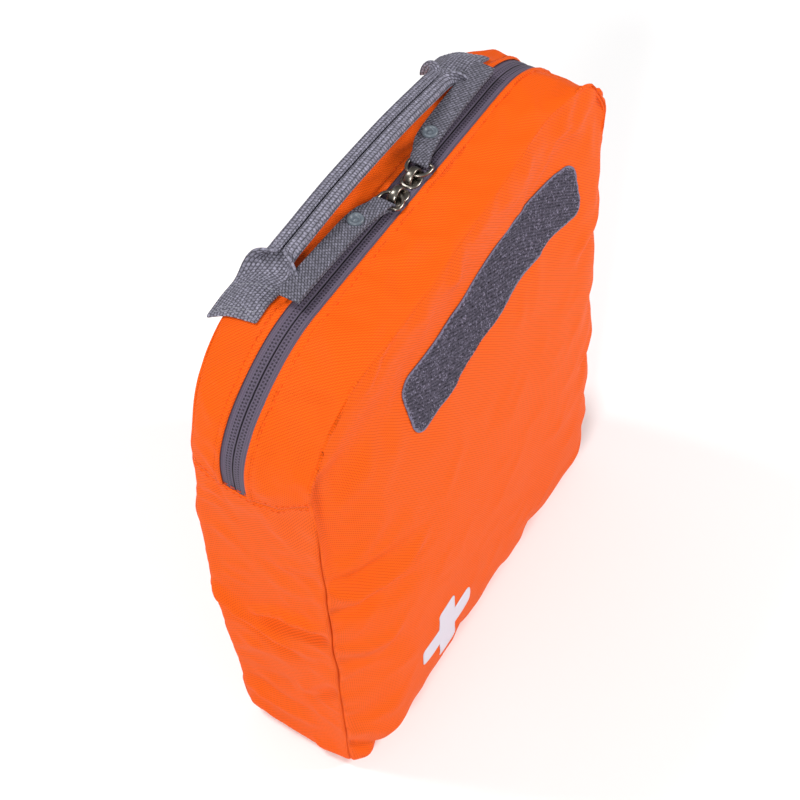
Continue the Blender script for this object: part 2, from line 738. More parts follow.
# how firmly the cloth is held while it settles
HELD_BAND = 0.95
HELD_ZIP_ENDS = 0.9
HELD_BASE = 0.6

# close to the outer seams the cloth moves less than the seam allowance: rows and their share
SEAM_SHARES = (([1, -2], 0.35), ([2, -3], 0.75))


def settle(points, quads, pins):
    """Lets the closed shell's cloth settle under a little pressure, held at its seams. The
    cloth is cut a little larger than the frame, so that it puckers."""
    obj = mesh_object("settling", points, quads)
    bpy.context.view_layer.objects.active = obj
    group = obj.vertex_groups.new(name="held")
    for weight in np.unique(pins):
        group.add(np.where(pins == weight)[0].tolist(), float(weight), "REPLACE")
    cloth = obj.modifiers.new("cloth", "CLOTH")
    for key, value in CLOTH_SETTINGS.items():
        setattr(cloth.settings, key, value)
    cloth.settings.effector_weights.gravity = 0
    cloth.collision_settings.use_collision = False
    cloth.point_cache.frame_start = 1
    cloth.point_cache.frame_end = SIM_FRAMES
    scene = bpy.context.scene
    for number in range(1, SIM_FRAMES + 1):
        scene.frame_set(number)
    depsgraph = bpy.context.evaluated_depsgraph_get()
    mesh = obj.evaluated_get(depsgraph).to_mesh()
    moved = np.zeros(len(points) * 3)
    mesh.vertices.foreach_get("co", moved)
    bpy.data.objects.remove(obj)
    scene.frame_set(1)
    shift = moved.reshape(-1, 3) / MM - points
    size = np.linalg.norm(shift, axis=1, keepdims=True) + 1e-9
    print("cloth moved, mm: mean", float(size.mean()), "most", float(size.max()))
    return points + shift / size * SIM_CAP * np.tanh(size / SIM_CAP)


def shell():
    """The settled grids of the gusset, the front panel and the back panel."""
    gusset = gusset_grid()
    front = front_grid(gusset[0])
    back = back_grid(gusset[-1])
    rows = len(ROWS)
    front_ids = panel_ids(0, rows * COLS_ALL)
    inner = (COLS_SIDE - 1) * (COLS_ACROSS - 1)
    back_ids = panel_ids((rows - 1) * COLS_ALL, rows * COLS_ALL + inner)
    points = np.concatenate([
        gusset.reshape(-1, 3), front[1:-1, 1:-1].reshape(-1, 3), back[1:-1, 1:-1].reshape(-1, 3)
    ])
    quads = [grid_quads(rows, COLS_ALL, closed=True)[:, ::-1]]
    for ids, turn in ((front_ids, 1), (back_ids, -1)):
        corner = [ids[:-1, :-1], ids[:-1, 1:], ids[1:, 1:], ids[1:, :-1]]
        quads.append(np.stack([c.ravel() for c in corner], axis=1)[:, ::turn])
    pins = np.zeros((rows, COLS_ALL))
    pins[0] = pins[-1] = 1
    pins[EDGE_FRONT : EDGE_BACK + 1] = HELD_BAND
    column = np.arange(COLS_ALL)
    pins[1:-1, (column < COL_ZIP_LEFT - 3) | (column > COL_ZIP_RIGHT + 3)] = 0.0
    pins[:, [COL_ZIP_LEFT, COL_ZIP_RIGHT]] = HELD_ZIP_ENDS
    pins[1:-1, COL_BASE_RIGHT:] = HELD_BASE
    pins = np.concatenate([pins.ravel(), np.zeros(len(points) - pins.size)])
    points = settle(points, np.concatenate(quads), pins)
    settled = points[: rows * COLS_ALL].reshape(rows, COLS_ALL, 3)
    share = np.ones((rows, 1, 1))
    for near_seam, value in SEAM_SHARES:
        share[near_seam] = value
    gusset = gusset + (settled - gusset) * share
    front = points[front_ids]
    back = points[back_ids]
    return gusset, front, back


# how deep the front seam is drawn in: (height, depth), and the back seam's share of it
SEAM_DEPTH = [(-10, 1.3), (20, 1.7), (120, 1.9), (200, 1.7), (235, 1.3), (258, 0.3), (275, 0.1),
              (320, 0.1)]
BACK_SEAM_SHARE = 0.6


def sink_seams(gusset, front, back):
    """Draws the seams in, so that the cloth rolls into them on both sides."""
    for row in (0, -1):
        depth = profile_value(SEAM_DEPTH, gusset[row][:, 2])[:, None]
        inward = CENTRE - gusset[row]
        inward[:, 1] *= 2.2
        inward /= np.linalg.norm(inward, axis=1, keepdims=True)
        gusset[row] += (depth if row == 0 else BACK_SEAM_SHARE * depth) * inward
    ids = panel_ids(0, COLS_ALL)
    for row, panel in ((0, front), (-1, back)):
        edge = np.concatenate([gusset[row], np.zeros((ids.max() + 1 - COLS_ALL, 3))])
        on_edge = ids < COLS_ALL
        panel[on_edge] = edge[ids[on_edge]]


# ==== materials ====


class Nodes:
    """Short ways to wire a material's nodes."""

    def __init__(self, name):
        self.material = bpy.data.materials.new(name)
        self.material.use_nodes = True
        self.tree = self.material.node_tree
        self.shader = self.tree.nodes["Principled BSDF"]

    def add(self, kind, **values):
        node = self.tree.nodes.new(kind)
        for key, value in values.items():
            setattr(node, key, value)
        return node

    def link(self, source, target):
        self.tree.links.new(source, target)

    def value(self, socket, value):
        if isinstance(value, (int, float)):
            socket.default_value = value
        elif isinstance(value, tuple):
            socket.default_value = (*value, 1.0)[: len(socket.default_value)]
        else:
            self.link(value, socket)

    def math(self, operation, a, b=0.0, c=None, clamp=False):
        node = self.add("ShaderNodeMath", operation=operation, use_clamp=clamp)
        for socket, value in zip(node.inputs, (a, b, c)):
            if value is not None:
                self.value(socket, value)
        return node.outputs[0]

    def plus(self, a, b):
        return self.math("ADD", a, b)

    def minus(self, a, b, clamp=False):
        return self.math("SUBTRACT", a, b, clamp=clamp)

    def times(self, a, b, clamp=False):
        return self.math("MULTIPLY", a, b, clamp=clamp)

    def power(self, a, b):
        return self.math("POWER", a, b)

    def size(self, a):
        return self.math("ABSOLUTE", a)

    def above(self, a, level):
        return self.math("GREATER_THAN", a, level)

    def vary(self, source, share, base):
        """A value that is base where the source is 0, and share more where it is 1."""
        return self.plus(self.times(source, share), base)

    def mottle(self, source, share, colour, factor):
        """A colour, shaded by factor up to a share where the source is high."""
        return self.mix(self.times(source, share), colour, shade(colour, factor))

    def mix(self, factor, a, b):
        node = self.add("ShaderNodeMix", data_type="RGBA", blend_type="MIX")
        self.value(node.inputs[0], factor)
        self.value(node.inputs[6], a)
        self.value(node.inputs[7], b)
        return node.outputs[2]

    def noise(self, scale, detail=2.0, rough=0.5, vector=None):
        node = self.add("ShaderNodeTexNoise")
        node.inputs["Scale"].default_value = scale
        node.inputs["Detail"].default_value = detail
        node.inputs["Roughness"].default_value = rough
        self.link(self.place() if vector is None else vector, node.inputs["Vector"])
        return node.outputs[0]

    def place(self):
        return self.add("ShaderNodeTexCoord").outputs["Object"]

    def cells(self, scale, feature):
        """Distances in a field of random cells."""
        node = self.add("ShaderNodeTexVoronoi", feature=feature)
        node.inputs["Scale"].default_value = scale
        self.link(self.place(), node.inputs["Vector"])
        return node.outputs["Distance"]

    def uv(self):
        """The cloth's own u and v, in metres."""
        node = self.add("ShaderNodeUVMap", uv_map="UVMap")
        split = self.add("ShaderNodeSeparateXYZ")
        self.link(node.outputs[0], split.inputs[0])
        return split.outputs[0], split.outputs[1]

    def sine(self, value, period_mm, shift=0.0):
        turns = self.times(value, 2 * math.pi / (period_mm * MM))
        return self.math("SINE", self.plus(turns, shift))

    def ribs(self, value, period_mm):
        """Rounded ribs from 0 to 1, two to a period."""
        return self.size(self.sine(value, period_mm))

    def bump(self, height, distance_mm, strength=1.0):
        node = self.add("ShaderNodeBump")
        node.inputs["Strength"].default_value = strength
        node.inputs["Distance"].default_value = distance_mm * MM
        self.link(height, node.inputs["Height"])
        self.link(node.outputs[0], self.shader.inputs["Normal"])

    def finish(self, colour, roughness, **plain):
        self.value(self.shader.inputs["Base Color"], colour)
        self.value(self.shader.inputs["Roughness"], roughness)
        for name, value in plain.items():
            socket = self.shader.inputs[name.replace("_", " ").title().replace("Ior", "IOR")]
            self.value(socket, value)
        return self.material


def srgb(r, g, b):
    """A linear colour from 0-255 display values."""
    def linear(v):
        v /= 255
        return v / 12.92 if v <= 0.04045 else ((v + 0.055) / 1.055) ** 2.4
    return linear(r), linear(g), linear(b)


def shade(colour, factor):
    return tuple(min(1.0, c * factor) for c in colour)


def woven(name, colour, pitch, twill=0.45, rough=0.62, depth=0.16, contrast=0.48, shine=0.08):
    """Woven cloth: bumps of warp over weft with a slight diagonal, uneven dye and soft sheen."""
    n = Nodes(name)
    u, v = n.uv()
    threads = n.times(n.ribs(u, 2 * pitch), n.ribs(v, 2 * pitch))
    diagonal = n.math("MULTIPLY_ADD", n.sine(n.plus(u, v), 2 * pitch), 0.5, 0.5)
    height = n.plus(n.times(threads, 1 - twill), n.times(diagonal, twill))
    uneven = n.noise(38, 4, 0.6)
    tone = n.mix(height, shade(colour, 1 - contrast), shade(colour, 1 + contrast * 0.35))
    dye = n.mix(n.times(uneven, 0.24), tone, shade(colour, 0.78))
    n.bump(height, depth, 0.55)
    return n.finish(dye, n.vary(uneven, 0.12, rough - 0.06), specular_ior_level=shine)


def ribbed_webbing(name, colour, rib=1.7, pick=1.35, contrast=0.92, depth=0.38, lean=0.0):
    """Webbing: rows of ribs along its length, each crossed by its picks, in heather greys."""
    n = Nodes(name)
    u, v = n.uv()
    if lean:
        v = n.plus(v, n.times(u, lean))
    odd = n.size(n.math("MODULO", n.math("FLOOR", n.math("DIVIDE", v, rib * MM)), 2.0))
    across = n.power(n.ribs(v, 2 * rib), 0.5)
    along = n.power(n.ribs(n.plus(u, n.times(odd, 0.5 * pick * MM)), 2 * pick), 0.7)
    height = n.times(across, n.vary(along, 0.75, 0.25))
    flecks = n.times(n.above(n.noise(700, 3, 0.7), 0.54), height)
    tone = n.mix(height, shade(colour, 1 - contrast), shade(colour, 1.35))
    tone = n.mix(n.times(flecks, 0.55), tone, shade(colour, 2.6))
    n.bump(height, depth, 0.9)
    return n.finish(tone, 0.74, specular_ior_level=0.28)


def knitted_tape(name, colour):
    """Zip tape: fine slanting ribs, and two rows of chain stitches beside the closing edge. v is
    the distance from the middle of the zip."""
    n = Nodes(name)
    u, v = n.uv()
    away = n.size(v)
    slant = n.ribs(n.plus(u, n.times(away, 0.8)), 1.5)
    knit = n.plus(n.times(slant, 0.55), n.times(n.ribs(v, 1.9), 0.45))
    holes = 0.0
    for middle, shift in ((1.35, 0.0), (2.75, 0.5)):
        offset = n.size(n.minus(away, middle * MM))
        row = n.minus(1.0, n.math("DIVIDE", offset, 0.5 * MM), clamp=True)
        gaps = n.math("MULTIPLY_ADD", n.sine(u, 1.5, shift * math.pi), 0.9, 0.5, clamp=True)
        holes = n.math("MAXIMUM", holes, n.times(n.power(row, 0.5), gaps))
    edge = n.minus(1.0, n.math("DIVIDE", away, 0.42 * MM), clamp=True)
    dark = n.math("MAXIMUM", holes, n.power(edge, 0.6))
    tone = n.mix(knit, shade(colour, 0.62), shade(colour, 1.7))
    tone = n.mix(dark, tone, shade(colour, 0.16))
    n.bump(n.minus(n.times(knit, 0.5), dark), 0.22, 0.8)
    return n.finish(tone, 0.72, specular_ior_level=0.28)


def plain_plastic(name, colour, rough=0.42, grain=0.05):
    n = Nodes(name)
    speckle = n.noise(700, 3, 0.6)
    n.bump(speckle, grain, 0.3)
    roughness = n.vary(n.noise(60), 0.15, rough - 0.07)
    return n.finish(n.mottle(speckle, 0.4, colour, 0.8), roughness, specular_ior_level=0.5)


def aged_metal(name, dark, bright, rough=0.3):
    """Antiqued plating: dark in the hollows, rubbed bright on the edges."""
    n = Nodes(name)
    geometry = n.add("ShaderNodeNewGeometry")
    edge = n.add("ShaderNodeMapRange")
    edge.inputs["From Min"].default_value = 0.47
    edge.inputs["From Max"].default_value = 0.6
    n.link(geometry.outputs["Pointiness"], edge.inputs["Value"])
    stain = n.noise(420, 4, 0.65)
    rub = n.times(edge.outputs[0], n.plus(stain, 0.35), clamp=True)
    n.bump(stain, 0.03, 0.35)
    return n.finish(n.mix(rub, dark, bright), n.vary(stain, 0.25, rough - 0.1), metallic=1.0)


def fuzzy_pile(name, colour):
    """Loop pile: dark between the loops, with pale flecks where they catch the light."""
    n = Nodes(name)
    u, v = n.uv()
    rows = n.ribs(n.plus(n.times(u, 0.5), v), 3.4)
    fuzz = n.noise(1300, 4, 0.75)
    tufts = n.noise(560, 3, 0.65)
    height = n.plus(n.times(rows, 0.35), n.plus(fuzz, tufts))
    level = n.minus(n.times(height, 1.5), 1.2, clamp=True)
    tone = n.mix(level, shade(colour, 0.2), shade(colour, 1.55))
    bright = n.times(n.above(fuzz, 0.57), n.above(tufts, 0.52))
    tone = n.mix(n.times(bright, 0.85), tone, shade(colour, 4.5))
    n.bump(height, 0.4, 1.0)
    return n.finish(tone, 0.95, specular_ior_level=0.12)


def printed(name, colour):
    """Reflective print: a thin matt film with fine glass beads."""
    n = Nodes(name)
    u, v = n.uv()
    beads = n.noise(2600, 2, 0.5)
    tone = n.mix(n.times(beads, 0.5), shade(colour, 0.86), shade(colour, 1.1))
    n.bump(n.times(n.ribs(u, 1.9), n.ribs(v, 1.9)), 0.05, 0.5)
    return n.finish(tone, 0.48, metallic=0.15, specular_ior_level=0.5)


def paper(name, colour, rough=0.75, crease=0.08, band=None):
    """Paper and card: faint fibres, handling creases and optional printed bands, given as their
    colour and period."""
    n = Nodes(name)
    fibres = n.noise(1400, 4, 0.7)
    worn = n.noise(90, 5, 0.75)
    tone = n.mottle(fibres, 0.3, colour, 0.82)
    if band:
        printed_band = n.above(n.sine(n.uv()[1], band[1]), 0.72)
        tone = n.mix(n.times(printed_band, 0.85), tone, band[0])
    n.bump(n.plus(n.times(fibres, 0.25), worn), crease, 0.8)
    return n.finish(tone, n.vary(worn, 0.2, rough - 0.1), specular_ior_level=0.3)


def crinkled_film(name, colour, metal, rough, crease=0.35):
    """Sealed film: sharp small crinkles that catch the light."""
    n = Nodes(name)
    folds = n.times(n.cells(95, "DISTANCE_TO_EDGE"), 1.6, clamp=True)
    fine = n.noise(160, 4, 0.65)
    n.bump(n.plus(folds, n.times(fine, 0.6)), crease, 0.9)
    tone = n.mottle(fine, 0.35, colour, 0.7)
    roughness = n.vary(fine, 0.15, rough - 0.07)
    return n.finish(tone, roughness, metallic=metal, specular_ior_level=0.5)


def foam(name, colour):
    """Closed-cell foam: small pores."""
    n = Nodes(name)
    pores = n.times(n.cells(900, "F1"), 1.3, clamp=True)
    n.bump(pores, 0.2, 0.7)
    return n.finish(n.mix(pores, shade(colour, 0.72), colour), 0.85, specular_ior_level=0.2)


def satin_steel(name, colour):
    """Satin steel: fine grinding lines along the tool and faint smudges."""
    n = Nodes(name)
    stretch = n.add("ShaderNodeMapping")
    stretch.inputs["Scale"].default_value = (1.0, 1.0, 0.04)
    n.link(n.place(), stretch.inputs["Vector"])
    lines = n.noise(2600, 3, 0.7, stretch.outputs[0])
    n.bump(lines, 0.02, 0.4)
    roughness = n.vary(n.noise(60, 3, 0.6), 0.16, 0.22)
    return n.finish(n.mottle(lines, 0.4, colour, 0.7), roughness, metallic=1.0)


ORANGE = (1.0, 0.112, 0.005)
WEB_GREY = srgb(110, 108, 121)
TAPE_GREY = srgb(76, 68, 83)
PILE_GREY = srgb(74, 70, 82)

MATERIALS = {
    "shell_cloth": woven("orange_oxford_nylon", ORANGE, 0.82),
    "shell_thread": woven("orange_thread", srgb(236, 82, 18), 0.35, depth=0.03),
    "handle_webbing": ribbed_webbing("grey_ribbed_webbing", WEB_GREY),
    "tab_webbing": ribbed_webbing("grey_tab_webbing", shade(WEB_GREY, 0.68), 1.35, 1.3, lean=0.6),
    "web_thread": woven("grey_thread", srgb(150, 150, 160), 0.3, depth=0.03),
    "zip_tape": knitted_tape("knitted_zip_tape", TAPE_GREY),
    "zip_coil": plain_plastic("moulded_coil", srgb(66, 62, 72), 0.35),
    "loop_pile": fuzzy_pile("grey_loop_pile", PILE_GREY),
    "selvedge": woven("lavender_selvedge", srgb(124, 120, 142), 0.5),
    "slider_metal": aged_metal("antique_gunmetal", srgb(58, 54, 50), srgb(186, 178, 166)),
    "rivet_plastic": plain_plastic("blue_grey_plastic", srgb(92, 100, 109)),
    "reflective_print": printed("silver_grey_print", srgb(214, 210, 222)),
    "foam_sheet": foam("pale_foam", (0.7, 0.7, 0.68)),
    "lining_cloth": woven("dark_lining", (0.06, 0.06, 0.07), 0.5, depth=0.06),
    "binding_tape": ribbed_webbing("dark_binding", (0.1, 0.1, 0.12), 0.9, 0.8, 0.45, 0.12),
    "pocket_mesh": plain_plastic("black_net", (0.03, 0.03, 0.035), 0.7),
    "cotton": woven("white_cotton", (0.85, 0.83, 0.78), 0.8, 0.1, 0.9, 0.2, 0.25, 0.1),
    "packet_paper": paper("sterile_paper", (0.86, 0.88, 0.88), band=((0.25, 0.5, 0.62), 75.0)),
    "packet_foil": crinkled_film("metallised_film", (0.75, 0.76, 0.78), 0.9, 0.3),
    "glove_film": crinkled_film("blue_glove_film", (0.25, 0.45, 0.7), 0.0, 0.25, 0.5),
    "box_card": paper("coated_card", (0.88, 0.88, 0.87), 0.45, 0.03, ((0.08, 0.38, 0.26), 50.0)),
    "tape_cloth": woven("adhesive_cloth", (0.82, 0.77, 0.68), 0.45, 0.1, 0.8, 0.06, 0.2),
    "core_card": paper("brown_card", (0.55, 0.4, 0.24), 0.85),
    "tool_steel": satin_steel("satin_stainless", (0.62, 0.62, 0.63)),
    "tool_plastic": plain_plastic("moulded_black", (0.02, 0.02, 0.025), 0.3),
}


def dress(obj, key):
    """Gives a piece its material, and the record's slot that it takes its finish from."""
    obj.data.materials.clear()
    obj.data.materials.append(MATERIALS[key])
    return obj


# ==== the case: cloth pieces ====

# cloth in front of the zip turns down with the cover across a band above this line; FOLDS stands
# for a body in the calls below
FOLDS = "folds with the cover"


def fold_with_cover(obj):
    """Bends a piece from the case to the cover across the fold, leaving the zip's end in place."""
    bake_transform(obj)


def place(obj, key, body, *nodes, slot=None):
    """Dresses a piece, lets it stand for CAD nodes, and joins it to its body, or, where the body
    is FOLDS, to the case and the cover."""
    dress(obj, key)
    if nodes:
        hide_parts(*nodes)
    if body == FOLDS:
        fold_with_cover(obj)
    else:
        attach(obj, body)
    return obj


def part(name, key, parts, body, *nodes, slot=None):
    """A solid piece made of (points, faces, uv) parts, put in its place."""
    return place(recalculate(join_meshes(name, parts)), key, body, *nodes, slot=slot)


def wrap_columns(first, last):
    """Column numbers from first to last, clockwise, past the start of the outline."""
    if last < first:
        last += COLS_ALL
    return np.arange(first, last + 1) % COLS_ALL


def gusset_uv(rows, cols):
    """Metres of cloth along and across the gusset."""
    total = outline_stations()[0][-1]
    at = shell_columns()[cols]
    at = np.where(np.diff(at, prepend=at[0]).cumsum() < 0, at + total, at)
    return np.stack(np.meshgrid(np.unwrap(at, period=total), ROWS[rows]), axis=2) * MM


# the hem of a zip strip: heights of its last rows, and its turn (out from the edge, down, length
# of cloth)
HEM_LIFT = [0.15, -0.15, 0.9, 0.675]
HEM_TURN = [(0.45, 0.55, 0.7), (0.1, 1.1, 1.3), (-2.5, 1.25, 3.9)]


def strip_grid(gusset, rows, cols, edge_first):
    """(grid, uv) of a zip strip with its hem turned under along the band. edge_first says that
    the hem is at the first of the rows."""
    grid = gusset[np.ix_(rows, cols)].copy()
    uv = gusset_uv(rows, cols)
    normal = grid_normals(grid)
    if edge_first:
        grid, uv, normal = grid[::-1], uv[::-1], normal[::-1]
    lift = np.zeros(len(rows))
    lift[-len(HEM_LIFT) :] = HEM_LIFT
    grid = grid + normal * lift[:, None, None]
    side = grid[-1] - grid[-2]
    side /= np.linalg.norm(side, axis=1, keepdims=True)
    under = np.array([
        grid[-1] + side * out - normal[-1] * down for out, down, _ in HEM_TURN
    ])
    sign = np.sign(uv[-1, 0, 1] - uv[-2, 0, 1])
    extra = np.array([uv[-1] + (0, sign * length * MM) for _, _, length in HEM_TURN])
    return np.concatenate([grid, under]), np.concatenate([uv, extra])


# the zip tape: its rows' distances from its middle, how far it goes under the strips, and how
# deep it lies: (distance, depth)
TAPE_ROWS = np.array([0.0, 0.35, 0.8, 1.5, 2.6, 3.8, 5.0, 6.0, 7.4, 9.0])
TAPE_UNDER = 6
TAPE_DEPTH = np.array([(0, 0.5), (0.4, 0.22), (2.6, 0.15), (4.5, 0.3), (6, 0.55), (9, 1.2)])


def tape_grid(gusset, cols, side_sign):
    """(grid, uv) of one half of the zip tape, from the middle of the zip to under the strip."""
    rows = [
        i for i, y in enumerate(ROWS)
        if (y - ZIP_Y) * side_sign > -0.01 and BAND_FRONT - TAPE_UNDER < y < BAND_BACK + TAPE_UNDER
    ]
    rows = sorted(rows, key=lambda i: abs(ROWS[i] - ZIP_Y))
    normal = grid_normals(gusset[:, cols])[rows]
    away = np.abs(ROWS[rows] - ZIP_Y)
    grid = gusset[np.ix_(rows, cols)] - normal * np.interp(away, *TAPE_DEPTH.T)[:, None, None]
    grid[0, :, 1] += side_sign * 0.1
    at = TAPE_ROWS[TAPE_ROWS <= away.max() + 0.01]
    fine = np.stack([read_at(at, away, grid[:, c]) for c in range(len(cols))], axis=1)
    along = gusset_uv(np.array(rows), cols)[0, :, 0]
    return fine, np.stack(np.meshgrid(along, side_sign * at * MM), axis=2)


# a stitch: (share of its length, share of the thread's radius, depth in the cloth)
STITCH = np.array([
    (0.0, 0.25, 0.35), (0.12, 0.85, 0.05), (0.5, 1.0, -0.1), (0.88, 0.85, 0.05), (1.0, 0.25, 0.35)
])
STITCH_SIDES = 6


def stitches(name, path, normals, pitch=3.3, length=2.2, radius=0.24):
    """A row of sewn stitches along a path on the cloth."""
    path, normals = resample(path, 0.5, normals)
    along = length_along(path)
    share, thick, depth = STITCH.T
    angle = np.linspace(0, 2 * math.pi, STITCH_SIDES, endpoint=False)
    faces = grid_quads(len(STITCH), STITCH_SIDES, closed=True)
    parts = []
    for start in np.arange(pitch / 2, along[-1] - length, pitch):
        at = start + length * share
        middle = read_at(at, along, path)
        out = read_at([start + length / 2], along, normals)[0]
        out /= np.linalg.norm(out)
        forward = middle[-1] - middle[0]
        forward /= np.linalg.norm(forward)
        ring = np.cos(angle)[:, None] * np.cross(forward, out) + 0.8 * np.sin(angle)[:, None] * out
        points = (middle - out * depth[:, None])[:, None] + ring * (radius * thick)[:, None, None]
        parts.append((points.reshape(-1, 3), faces, uv_grid(at, angle * radius).reshape(-1, 2)))
    return join_meshes(name, parts)


# the flat cuts, in metres, with the seam allowances
PANEL_CUT = (0.254, 0.329)
PANEL_CUT_AREA = 0.081
GUSSET_CUT = (0.076, 0.722)
STRIP_CUT_FRONT = (0.036, 0.340)
STRIP_CUT_BACK = (0.030, 0.340)

# how far from the seam at the zip's ends its stitches run, as a share of a column
ZIP_END_STITCH = 0.62

STRIP_T = 0.7
TAPE_T = 0.5


def build_shell():
    """Makes all the outer cloth, the zip tape and the stitching on them, and gives the gusset's
    points."""
    gusset, front, back = shell()
    sink_seams(gusset, front, back)
    low = wrap_columns(COL_ZIP_RIGHT, COL_ZIP_LEFT)
    arch = wrap_columns(COL_ZIP_LEFT, COL_ZIP_RIGHT)
    rows = np.arange(len(ROWS))
    for name, grid, uv, thickness, body, nodes, flat, area in (
        ("front_cloth", front, front[..., [0, 2]] * MM, CLOTH_T,
         FOLDS, ("front_panel", "cover_panel"), PANEL_CUT, PANEL_CUT_AREA),
        ("back_cloth", back, back[..., [0, 2]] * MM, CLOTH_T,
         "case", ("back_panel",), PANEL_CUT, PANEL_CUT_AREA),
        ("lower_gusset_cloth", gusset[np.ix_(rows, low)], gusset_uv(rows, low), CLOTH_T,
         FOLDS, ("lower_gusset",), GUSSET_CUT, None),
        ("zip_strip_front_cloth", *strip_grid(gusset, rows[: EDGE_FRONT + 1], arch, False), STRIP_T,
         FOLDS, ("zip_strip_front",), STRIP_CUT_FRONT, None),
        ("zip_strip_back_cloth", *strip_grid(gusset, rows[EDGE_BACK:], arch, True), STRIP_T,
         "case", ("zip_strip_back",), STRIP_CUT_BACK, None),
    ):
        cloth = place(cloth_grid(name, grid, uv, thickness), "shell_cloth", body, *nodes)

    normal = grid_normals(gusset)
    for label, sign, row, body in (
        ("front", -1, STITCH_FRONT, FOLDS), ("back", 1, STITCH_BACK, "case")
    ):
        tape = cloth_grid(f"zip_tape_{label}_knit", *tape_grid(gusset, arch, sign), TAPE_T)
        place(tape, "zip_tape", body, f"zip_tape_{label}")
        out = normal[row][arch]
        sewn = stitches(f"stitches_strip_{label}", gusset[row][arch] - 0.05 * out, out)
        place(sewn, "shell_thread", body, slot="shell_cloth")
    for side, column, step in (("left", COL_ZIP_LEFT, 1), ("right", COL_ZIP_RIGHT, -1)):
        for label, other in (("upper", column + step), ("lower", column - step)):
            path = gusset[:, column] * (1 - ZIP_END_STITCH) + gusset[:, other] * ZIP_END_STITCH
            sewn = stitches(f"stitches_zip_end_{side}_{label}", path, normal[:, column])
            place(sewn, "shell_thread", FOLDS, slot="shell_cloth")
    return gusset


# ==== surfaces to lay things on ====


class Surface:
    """Finished cloth that other pieces are laid on, in millimetres."""

    def __init__(self, *objects):
        points = []
        faces = []
        for obj in objects:
            start = len(points)
            points += [tuple(v.co / MM) for v in obj.data.vertices]
            faces += [[start + k for k in f.vertices] for f in obj.data.polygons]
        self.tree = BVHTree.FromPolygons(points, faces)

    def height(self, x, y):
        hit = self.tree.ray_cast(Vector((x, y, 2 * TOP_Z)), Vector((0, 0, -1)))[0]
        return hit.z if hit else None

    def front(self, x, z):
        hit = self.tree.ray_cast(Vector((x, -2 * TOP_Z, z)), Vector((0, 1, 0)))[0]
        return hit.y if hit else None


# ==== the handle ====

WEB_W = 25.0
WEB_T = 1.4
SEWN_LOW, SEWN_HIGH = cad_box("handle_end_right")
SEWN_IN, SEWN_OUT = SEWN_LOW[0], SEWN_HIGH[0]
WEB_Y = (SEWN_LOW[1] + SEWN_HIGH[1]) / 2
ROLL_R = 1.7
ROLLED_X = 50.0
EDGE_TURN = 0.985
SEWN_LIFT = 0.7

# how far the sewn ends lie behind the middle of the handle, and the left one nearer to it
LEFT_END_BACK = 5.2
RIGHT_END_BACK = 3.6
LEFT_END_IN = 4.4

# height of the webbing above the top of the case between its sewn ends: (distance out, rise)
HANDLE_RISE = [(0, 10.3), (20, 10.0), (40, 8.4), (50, 6.6), (58, 4.2), (64, 2.3), (70, 1.2),
               (74, 0.9)]


def rolled_section(across, front_fold, back_fold):
    """Offsets (y, height) of points across the webbing, its edges folded up and in by shares of
    a half turn."""
    bend = math.pi * ROLL_R
    flat = (WEB_W / 2 - bend) / 2 + 0.3
    offsets = []
    for s in across:
        share = front_fold if s < 0 else back_fold
        t = np.linspace(0, abs(s), 40)
        angle = share * math.pi * np.clip((t - flat) / bend, 0, 1)
        step = t[1] - t[0]
        y = float((np.cos(angle)[1:] * step).sum())
        rise = float((np.sin(angle)[1:] * step).sum())
        offsets.append((math.copysign(y, s), rise))
    return np.array(offsets)


